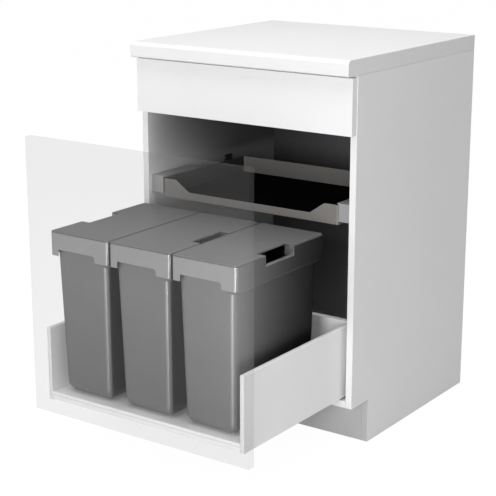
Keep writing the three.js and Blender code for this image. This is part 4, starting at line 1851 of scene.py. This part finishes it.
@dataclass
class Bin:
    """One bin: a tapered body under a hollow collar with a grip notch."""

    place: Place
    palette: Palette
    shape: BinShape = BinShape()

    @property
    def node(self) -> str:
        """The bin's CAD node, which is also its body."""
        return f"bin_{self.place.value}"

    def local(self, x: float, y: float, z: float) -> Point:
        """A point given from the bin's centre and bottom, in the row frame."""
        centre = seat_of(self.node)
        return (centre[0] + x, centre[1] + y, centre[2] + z)

    def build(self) -> None:
        """Builds and dresses the bin."""
        piece = self.shell()
        carve(piece, self.notch_tool(), Carve.CUT)
        carve(piece, self.notch_walls(), Carve.JOIN)
        carve(piece, self.collar_web(), Carve.JOIN)
        weigh(piece, angle=48.0)
        dress(piece, self.node, self.palette.bin, [self.node])

    def shell(self) -> bpy.types.Object:
        """The body and collar as one closed shell.

        Returns:
            The shell.
        """
        s = self.shape
        arch = s.arch_stations()
        ring = RingShell(stations(arch, arch, groove=s.groove_half), seat_of(self.node))
        levels = self.base() + self.outside() + self.collar() + self.inside()
        return ring.piece(f"moulded_{self.node}", levels)

    def base(self, steps: int = 9) -> list[Level]:
        """The recessed underside and the rounded bottom edge.

        Args:
            steps: The edge's steps.

        Returns:
            The levels, from the middle out.
        """
        s = self.shape
        foot = s.body(s.base_radius)
        flat = foot.inset(s.base_radius)
        made = []
        for step, radius, rise in zip(s.recess_in, s.recess_radius, s.recess_rise):
            made.append(Plan(flat.half_x - step, flat.half_y - step, radius).at(rise))
        for k in range(steps):
            turn = math.radians(90.0 * k / steps)
            pull = s.base_radius * (1 - math.sin(turn))
            made.append(foot.inset(pull, 0.5).at(s.base_radius * (1 - math.cos(turn))))
        return made

    def outside(self) -> list[Level]:
        """The body's outer face, up to the collar's roof.

        Returns:
            The levels.
        """
        s = self.shape
        roof = s.height - s.wall
        heights = (s.base_radius, s.body_top / 2, s.body_top, roof - s.overlap, roof)
        return [s.body(z).at(z) for z in heights]

    def collar(self) -> list[Level]:
        """The collar from its roof, down its inner face and up to the bin's mouth.

        Returns:
            The levels.
        """
        s = self.shape
        outer, top = s.outer, s.body_top
        inner = outer.inset(s.wall)
        flared = inner.inset(-s.flare)
        made = [inner.at(s.height - s.wall), inner.at(top + s.clear, 1.0), flared.at(top, 1.0)]
        bead = s.collar_bead
        made += round_edge(outer, top + bead, bead, -90.0, 3, lifted=1.0, dented=s.groove)
        for z in (top + s.arch_rise + s.arch_clear, s.height - s.groove_top):
            made.append(outer.at(z, 0.0, s.groove))
        made.append(outer.at(s.height - s.groove_top + s.overlap))
        return made + round_edge(outer, s.height - s.lip, s.lip, 0.0, 3)

    def inside(self) -> list[Level]:
        """The mouth's edge, the inner face and the floor inside.

        Returns:
            The levels.
        """
        s = self.shape
        mouth = s.body(s.height, s.wall)
        made = round_edge(mouth, s.height - s.collar_bead, -s.collar_bead, 90.0, 3)
        made += [s.body(z, s.wall).at(z) for z in (s.body_top, s.body_top / 2, s.base_radius)]
        return made + floor_bend(s.body(s.base_radius, s.wall), s.wall, s.base_radius - s.wall, 7)

    @staticmethod
    def web_outline(plan: Plan, end: float, steps: int = 8) -> list[Flat]:
        """An outline round the right side, from the front arch's end to the rear one's.

        Args:
            plan: The rectangle that it follows.
            end: The ends' distance from the middle plane.
            steps: Steps in each corner.

        Returns:
            The outline's points.
        """
        points = [(end, -plan.half_y)]
        for start, side in ((-90.0, -1), (0.0, 1)):
            for k in range(steps + 1):
                turn = math.radians(start + 90.0 * k / steps)
                x = plan.half_x - plan.radius + plan.radius * math.cos(turn)
                points.append((x, side * (plan.half_y - plan.radius) + plan.radius * math.sin(turn)))
        return [*points, (end, plan.half_y)]

    def collar_web(self) -> bpy.types.Object:
        """The slope that joins the collar's lower edge to the body, round the right side.

        Returns:
            The slope as a closed solid.
        """
        s = self.shape
        top, low = s.body_top + s.web_rise, s.body_top - s.web_drop
        end = s.arch[1] + s.arch_foot + s.overlap
        rim = Plan(s.half_x - s.clear, s.half_y - s.clear, s.collar_radius)
        wall, foot = s.body(s.body_top, s.overlap), s.body(low, s.overlap)
        shape = bmesh.new()
        rows = []
        for plan, z in ((rim, top), (wall, top), (foot, low)):
            rows.append([shape.verts.new(self.local(x, y, z)) for x, y in self.web_outline(plan, end)])
        for k in range(3):
            bridge(shape, rows[k], rows[(k + 1) % 3], closed=False)
        for end_face in (0, -1):
            shape.faces.new([row[end_face] for row in rows])
        return object_from("collar_web", turned_out(shape, FINE_MERGE))

    def notch_block(self, name: str, x: Flat, y: Flat, z: Flat) -> bpy.types.Object:
        """A box on the notch's side.

        Args:
            name: Its name.
            x: Its span away from the middle plane.
            y: Its span along Y.
            z: Its span in height.

        Returns:
            The box.
        """
        sign = self.place.notch.sign
        xs = sorted((sign * x[0], sign * x[1]))
        return block_object(name, self.local(xs[0], y[0], z[0]), self.local(xs[1], y[1], z[1]))

    def notch_tool(self, past: float = 0.01) -> bpy.types.Object:
        """The solid that cuts the grip notch.

        Args:
            past: How far it reaches past the bin.

        Returns:
            The tool.
        """
        s = self.shape
        heights = (s.notch_floor, s.height + past)
        return self.notch_block("notch_tool", (s.notch_in, s.half_x + past), s.notch, heights)

    def notch_walls(self) -> bpy.types.Object:
        """The notch's two end walls and its ledge.

        Returns:
            The walls, joined.
        """
        s = self.shape
        outer = s.half_x - s.clear
        under = s.notch_floor - s.wall
        start, end = s.notch
        ledge_x = (s.half_x - s.inset_x - s.wall, outer)
        ledge_y = (start - s.overlap, end + s.overlap)
        made = self.notch_block("notch_ledge", ledge_x, ledge_y, (under, s.notch_floor))
        for y in (start - s.wall, end):
            wall = self.notch_block(
                "notch_end", (s.notch_in, outer), (y, y + s.wall), (under, s.height - s.overlap)
            )
            carve(made, wall, Carve.JOIN)
        return made


@dataclass
class Lid:
    """One lid: a flat plate with a locating rim, stiffening ribs and the notch's cut-out."""

    place: Place
    palette: Palette
    shape: BinShape = BinShape()
    thickness: float = 0.0032
    lower_edge: float = 0.0009
    upper_edge: float = 0.0018
    slack: float = 0.0008
    rim_depth: float = 0.008
    rim_wall: float = 0.002
    rim_edge: float = 0.0005
    rim_lead: float = 0.0008
    clearance: float = 0.0012
    rib_height: float = 0.003
    rib_half: float = 0.0007
    rib_pitch: float = 0.03
    rib_end: float = 0.035
    rib_side: float = 0.004
    rib_sink: float = 0.0005

    @property
    def node(self) -> str:
        """The lid's CAD node, which is also its body."""
        return f"lid_{self.place.value}"

    @property
    def centre(self) -> Point:
        """The middle of the plate's underside."""
        x, y, _ = seat_of(self.node)
        return (x, y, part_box(self.node)[1].z - self.thickness)

    def build(self) -> None:
        """Builds and dresses the lid and its ribs."""
        plate = self.plate()
        carve(plate, self.notch_tool(0.0), Carve.CUT)
        rim = self.rim()
        carve(rim, self.notch_tool(self.clearance + self.shape.wall), Carve.CUT)
        carve(plate, rim, Carve.JOIN)
        weigh(plate, angle=48.0)
        dress(plate, self.node, self.palette.lid, [self.node])
        self.ribs()

    def plate(self) -> bpy.types.Object:
        """The plate with rounded top and bottom edges.

        Returns:
            The plate.
        """
        s = self.shape
        plan = Plan(s.half_x - self.slack, s.half_y, s.collar_radius)
        levels = round_edge(plan, self.lower_edge, self.lower_edge, -90.0, 3)
        levels += round_edge(plan, self.thickness - self.upper_edge, self.upper_edge, 0.0, 4)
        return RingShell(stations(), self.centre).piece(f"moulded_{self.node}", levels)

    def rim(self) -> bpy.types.Object:
        """The locating rim under the plate.

        Returns:
            The rim as a closed ring.
        """
        s = self.shape
        gap = s.wall + self.clearance
        outer = Plan(s.half_x - s.inset_x - gap, s.half_y - s.inset_y - gap, s.body_radius - s.wall)
        inner = outer.inset(self.rim_wall)
        up = self.thickness / 2
        levels = [
            outer.inset(self.rim_edge).at(-self.rim_depth),
            outer.at(self.rim_lead - self.rim_depth),
            outer.at(up),
            inner.at(up),
            inner.at(-self.rim_depth),
        ]
        return RingShell(stations(), self.centre).piece("lid_rim", levels, closed=True)

    def notch_tool(self, grow: float, past: float = 0.01) -> bpy.types.Object:
        """The solid that cuts the notch.

        Args:
            grow: How much wider than the notch it is.
            past: How far it reaches past the lid's side, and half its reach up and down.

        Returns:
            The tool.
        """
        s = self.shape
        sign = self.place.notch.sign
        xs = sorted((sign * (s.notch_in - grow), sign * (s.half_x + past)))
        x, y, z = self.centre
        low = (x + xs[0], y + s.notch[0] - grow, z - 2 * past)
        high = (x + xs[1], y + s.notch[1] + grow, z + 2 * past)
        return block_object("lid_notch_tool", low, high)

    def ribs(self) -> None:
        """Builds and dresses the stiffening ribs across the underside."""
        s = self.shape
        x, y, z = self.centre
        half = s.notch_in - self.rib_side
        count = int(2 * (s.half_y - self.rib_end) / self.rib_pitch) + 1
        start = y - (count - 1) * self.rib_pitch / 2
        low = (x - half, start - self.rib_half, z - self.rib_height)
        high = (x + half, start + self.rib_half, z + self.rib_sink)
        piece = block_object(f"lid_ribs_{self.place.value}", low, high)
        pitch = (0.0, self.rib_pitch, 0.0)
        TREES.apply(piece, TREES.row, Count=count, Pitch=pitch, Finish=self.palette.lid)
        dress(piece, self.node, None)


# -------------------------------------------------------------------------------- tray
@dataclass
class Tray:
    """The tray pan with the dip in its front wall, and its ribbed mat."""

    palette: Palette
    wall: float = 0.003
    corner: float = 0.006
    foot_edge: float = 0.002
    rim_edge: float = 0.0009
    bend: float = 0.003
    dip_top: float = 0.038
    dip_floor: float = 0.077
    dip_depth: float = 0.027
    dip_bends: Flat = (0.010, 0.014)
    below_dip: float = 0.004
    mat_edge: float = 0.0006
    rib_pitch: float = 0.006
    rib_radius: float = 0.0011
    rib_sides: int = 8
    margin: float = 0.004

    def build(self) -> None:
        """Builds and dresses the tray."""
        piece = self.pan()
        weigh(piece)
        dress(piece, "tray", self.palette.tray, ["tray_pan"])
        self.mat()

    def dip(self, half: float) -> list[Flat]:
        """Places along the front edge with the dip's drop.

        Args:
            half: Half the pan's width.

        Returns:
            Places from -1 to 1 and drops in metres.
        """
        straight = half - self.corner
        top, floor, drop = half - self.dip_top, half - self.dip_floor, self.dip_depth
        upper, lower = self.dip_bends
        corners = (
            (-straight, 0.0, 0.0),
            (-top, 0.0, upper),
            (-floor, -drop, lower),
            (floor, -drop, lower),
            (top, 0.0, upper),
            (straight, 0.0, 0.0),
        )
        return [(x / straight, z) for x, z in filleted(corners, 6)[1:-1]]

    def pan(self) -> bpy.types.Object:
        """The pan as one closed shell.

        Returns:
            The pan.
        """
        low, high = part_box("tray_pan")
        outer = Plan((high.x - low.x) / 2, (high.y - low.y) / 2, self.corner)
        inner = outer.inset(self.wall)
        rear = ((-0.6, 0.0), (0.0, 0.0), (0.6, 0.0))
        ring = RingShell(stations(self.dip(outer.half_x), rear, 6), seat_of("tray_pan"))
        height = high.z - low.z
        rim = height - self.rim_edge
        waist = height - self.dip_depth - self.below_dip
        levels = [*round_edge(outer, self.foot_edge, self.foot_edge, -90.0, 3), outer.at(waist)]
        levels += round_edge(outer, rim, self.rim_edge, 0.0, 3, lifted=1.0)
        levels += round_edge(inner, rim, -self.rim_edge, 90.0, 3, lifted=1.0)
        levels += [inner.at(waist), inner.at(self.wall + self.bend)]
        levels += floor_bend(inner, self.wall, self.bend, 3)
        return ring.piece("moulded_tray", levels)

    def mat(self) -> None:
        """Builds and dresses the mat: a plate with round ribs from front to rear."""
        plate = cad_copy("tray_mat", "mat_sheet")
        soften(plate, self.mat_edge)
        dress(plate, "tray", self.palette.rubber, ["tray_mat"])
        low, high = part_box("tray_mat")
        place = Matrix.Translation((low.x + self.margin, (low.y + high.y) / 2, high.z))
        rod = {"radius1": self.rib_radius, "radius2": self.rib_radius, "segments": self.rib_sides}
        shape = bmesh.new()
        bmesh.ops.create_cone(
            shape, **rod, cap_ends=True, depth=high.y - low.y - 2 * self.margin,
            matrix=place @ Matrix.Rotation(math.pi / 2, 4, "X"),
        )
        ribs = object_from("mat_ribs", shape)
        count = int((high.x - low.x - 2 * self.margin) / self.rib_pitch) + 1
        pitch = (self.rib_pitch, 0.0, 0.0)
        TREES.apply(ribs, TREES.row, Count=count, Pitch=pitch, Finish=self.palette.rubber)
        ribs.data.set_sharp_from_angle(angle=math.radians(60))
        dress(ribs, "tray", None)


@dataclass
class TraySlides:
    """Brackets, fixed rails and moving slides of the tray, with their end caps and screws."""

    palette: Palette
    sheet: float = 0.002
    screw_drop: float = 0.010
    screw_shares: tuple[float, ...] = (0.05, 0.3, 0.95)

    def build(self) -> None:
        """Builds and dresses the slides."""
        p = self.palette
        # The rear bracket and the rails take the zinc plate darkened as painted shade.
        members = (
            ("tray_bracket_front", "front_bracket", "cabinet", "bracket_grey", p.bracket, 0.0006),
            ("tray_bracket_rear", "rear_bracket", "cabinet", "zinc_steel", p.shade_painted_zinc, 0.0004),
            ("tray_rail", "fixed_rail", "cabinet", "zinc_steel", p.shade_painted_zinc, 0.0004),
            ("tray_slide", "moving_rail", "tray", "zinc_steel", p.shade_painted_zinc, 0.0004),
            ("tray_slide_cap", "slide_end_cap", "tray", "bracket_grey", p.bracket, 0.0007),
        )
        for hand in Hand:
            for stem, name, body, slot, material, edge in members:
                node = f"{stem}_{hand.value}"
                piece = cad_copy(node, f"{name}_{hand.value}")
                soften(piece, edge)
                dress(piece, body, material, [node])
        spots = rail_screws("tray_rail", self.sheet, self.screw_drop, self.screw_shares)
        heads = ScrewHeads(radius=0.004, height=0.0016, recess=0.0007)
        piece = heads.field("tray_rail_screws", spots, 11, p.zinc)
        dress(piece, "cabinet", None)


# -------------------------------------------------------------------------------- studio
@dataclass(frozen=True)
class Softbox:
    """A rectangular light."""

    name: str
    place: Point
    target: Point
    size: Flat
    power: float

    def build(self) -> None:
        """Adds the light, aimed at its target."""
        light = bpy.data.lights.new(self.name, "AREA")
        light.shape = "RECTANGLE"
        light.size, light.size_y = self.size
        light.energy = self.power
        made = bpy.data.objects.new(self.name, light)
        made.location = self.place
        aim = Vector(self.target) - Vector(self.place)
        made.rotation_euler = aim.to_track_quat("-Z", "Y").to_euler()
        made.visible_camera = False
        bpy.context.scene.collection.objects.link(made)


@dataclass
class Studio:
    """Pale floor, soft light and the camera."""

    camera_place: Point = (1.8101, -2.6248, 1.2903)
    pitch: float = 0.2652
    yaw: float = 0.6145
    focal: float = 1382.86
    picture: float = 496.0
    sensor: float = 36.0
    clip: float = 60.0
    sky: float = 0.37
    glow: float = 0.955
    floor_half: float = 14.0
    floor_drop: float = 0.0004

    def build(self) -> None:
        """Builds the studio."""
        self.floor()
        self.world()
        Softbox("strip", (1.48, -3.81, 0.9), (0.1, -0.4, 0.5), (0.96, 1.72), 90.0).build()
        Softbox("top", (0.2, -0.5, 3.3), (0.0, -0.2, 0.9), (2.4, 2.4), 68.0).build()
        Softbox("key", (-2.3, -3.1, 1.6), (0.0, -0.3, 0.4), (2.2, 2.0), 9.0).build()
        self.camera()
        scene = bpy.context.scene
        scene.view_settings.view_transform = "Standard"
        scene.view_settings.look = "None"

    def floor(self) -> None:
        """A wide pale floor that fades to white."""
        shape = bmesh.new()
        bmesh.ops.create_grid(shape, x_segments=1, y_segments=1, size=self.floor_half)
        made = object_from("floor", shape, smooth=False)
        made.location.z = -self.floor_drop
        surface = Surface("pale floor")
        graph = surface.graph
        tone = surface.effect(GROUPS.tone, Scale=0.5, Contrast=0.003)["Tone"]
        seen = graph.node("ShaderNodeLightPath").outputs["Is Camera Ray"]
        pale, plain = rgba((0.65, 0.65, 0.65)), rgba((0.08, 0.08, 0.08))
        surface.colour(graph.mix(seen, pale, plain), tone)
        surface.fix(Roughness=0.9, Specular_IOR_Level=0.1, Emission_Color=WHITE)
        graph.feed(surface.shader.inputs["Emission Strength"], graph.product(seen, self.glow))
        made.data.materials.append(surface.material)

    def world(self) -> None:
        """Even sky light, seen white by the camera."""
        world = bpy.data.worlds.new("studio")
        world.use_nodes = True
        world.node_tree.nodes.clear()
        graph = Graph(world.node_tree)
        seen = graph.node("ShaderNodeLightPath").outputs["Is Camera Ray"]
        strength = graph.span(seen, 0.0, 1.0, self.sky)
        sky = graph.node("ShaderNodeBackground", {0: WHITE, 1: strength})
        graph.node("ShaderNodeOutputWorld", {0: sky.outputs[0]})
        bpy.context.scene.world = world

    def camera(self) -> None:
        """The camera at the photograph's viewing angle."""
        data = bpy.data.cameras.new("camera")
        data.sensor_width = self.sensor
        data.lens = self.focal / self.picture * self.sensor
        data.clip_end = self.clip
        made = bpy.data.objects.new("camera", data)
        made.location = self.camera_place
        made.rotation_euler = (math.pi / 2 - self.pitch, 0.0, self.yaw)
        bpy.context.scene.collection.objects.link(made)
        bpy.context.scene.camera = made


def main() -> None:
    """Builds the unit's looks and the studio."""
    logging.basicConfig(level=logging.INFO, format="%(name)s: %(message)s")
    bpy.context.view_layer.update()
    palette = Palette()
    Studio().build()
    Carcass(palette).build()
    Worktop(palette).build()
    Drawer(palette).build()
    Runners(palette).build()
    for place in Place:
        Bin(place, palette).build()
        Lid(place, palette).build()
    Tray(palette).build()
    TraySlides(palette).build()


if __name__ == "__main__":
    main()
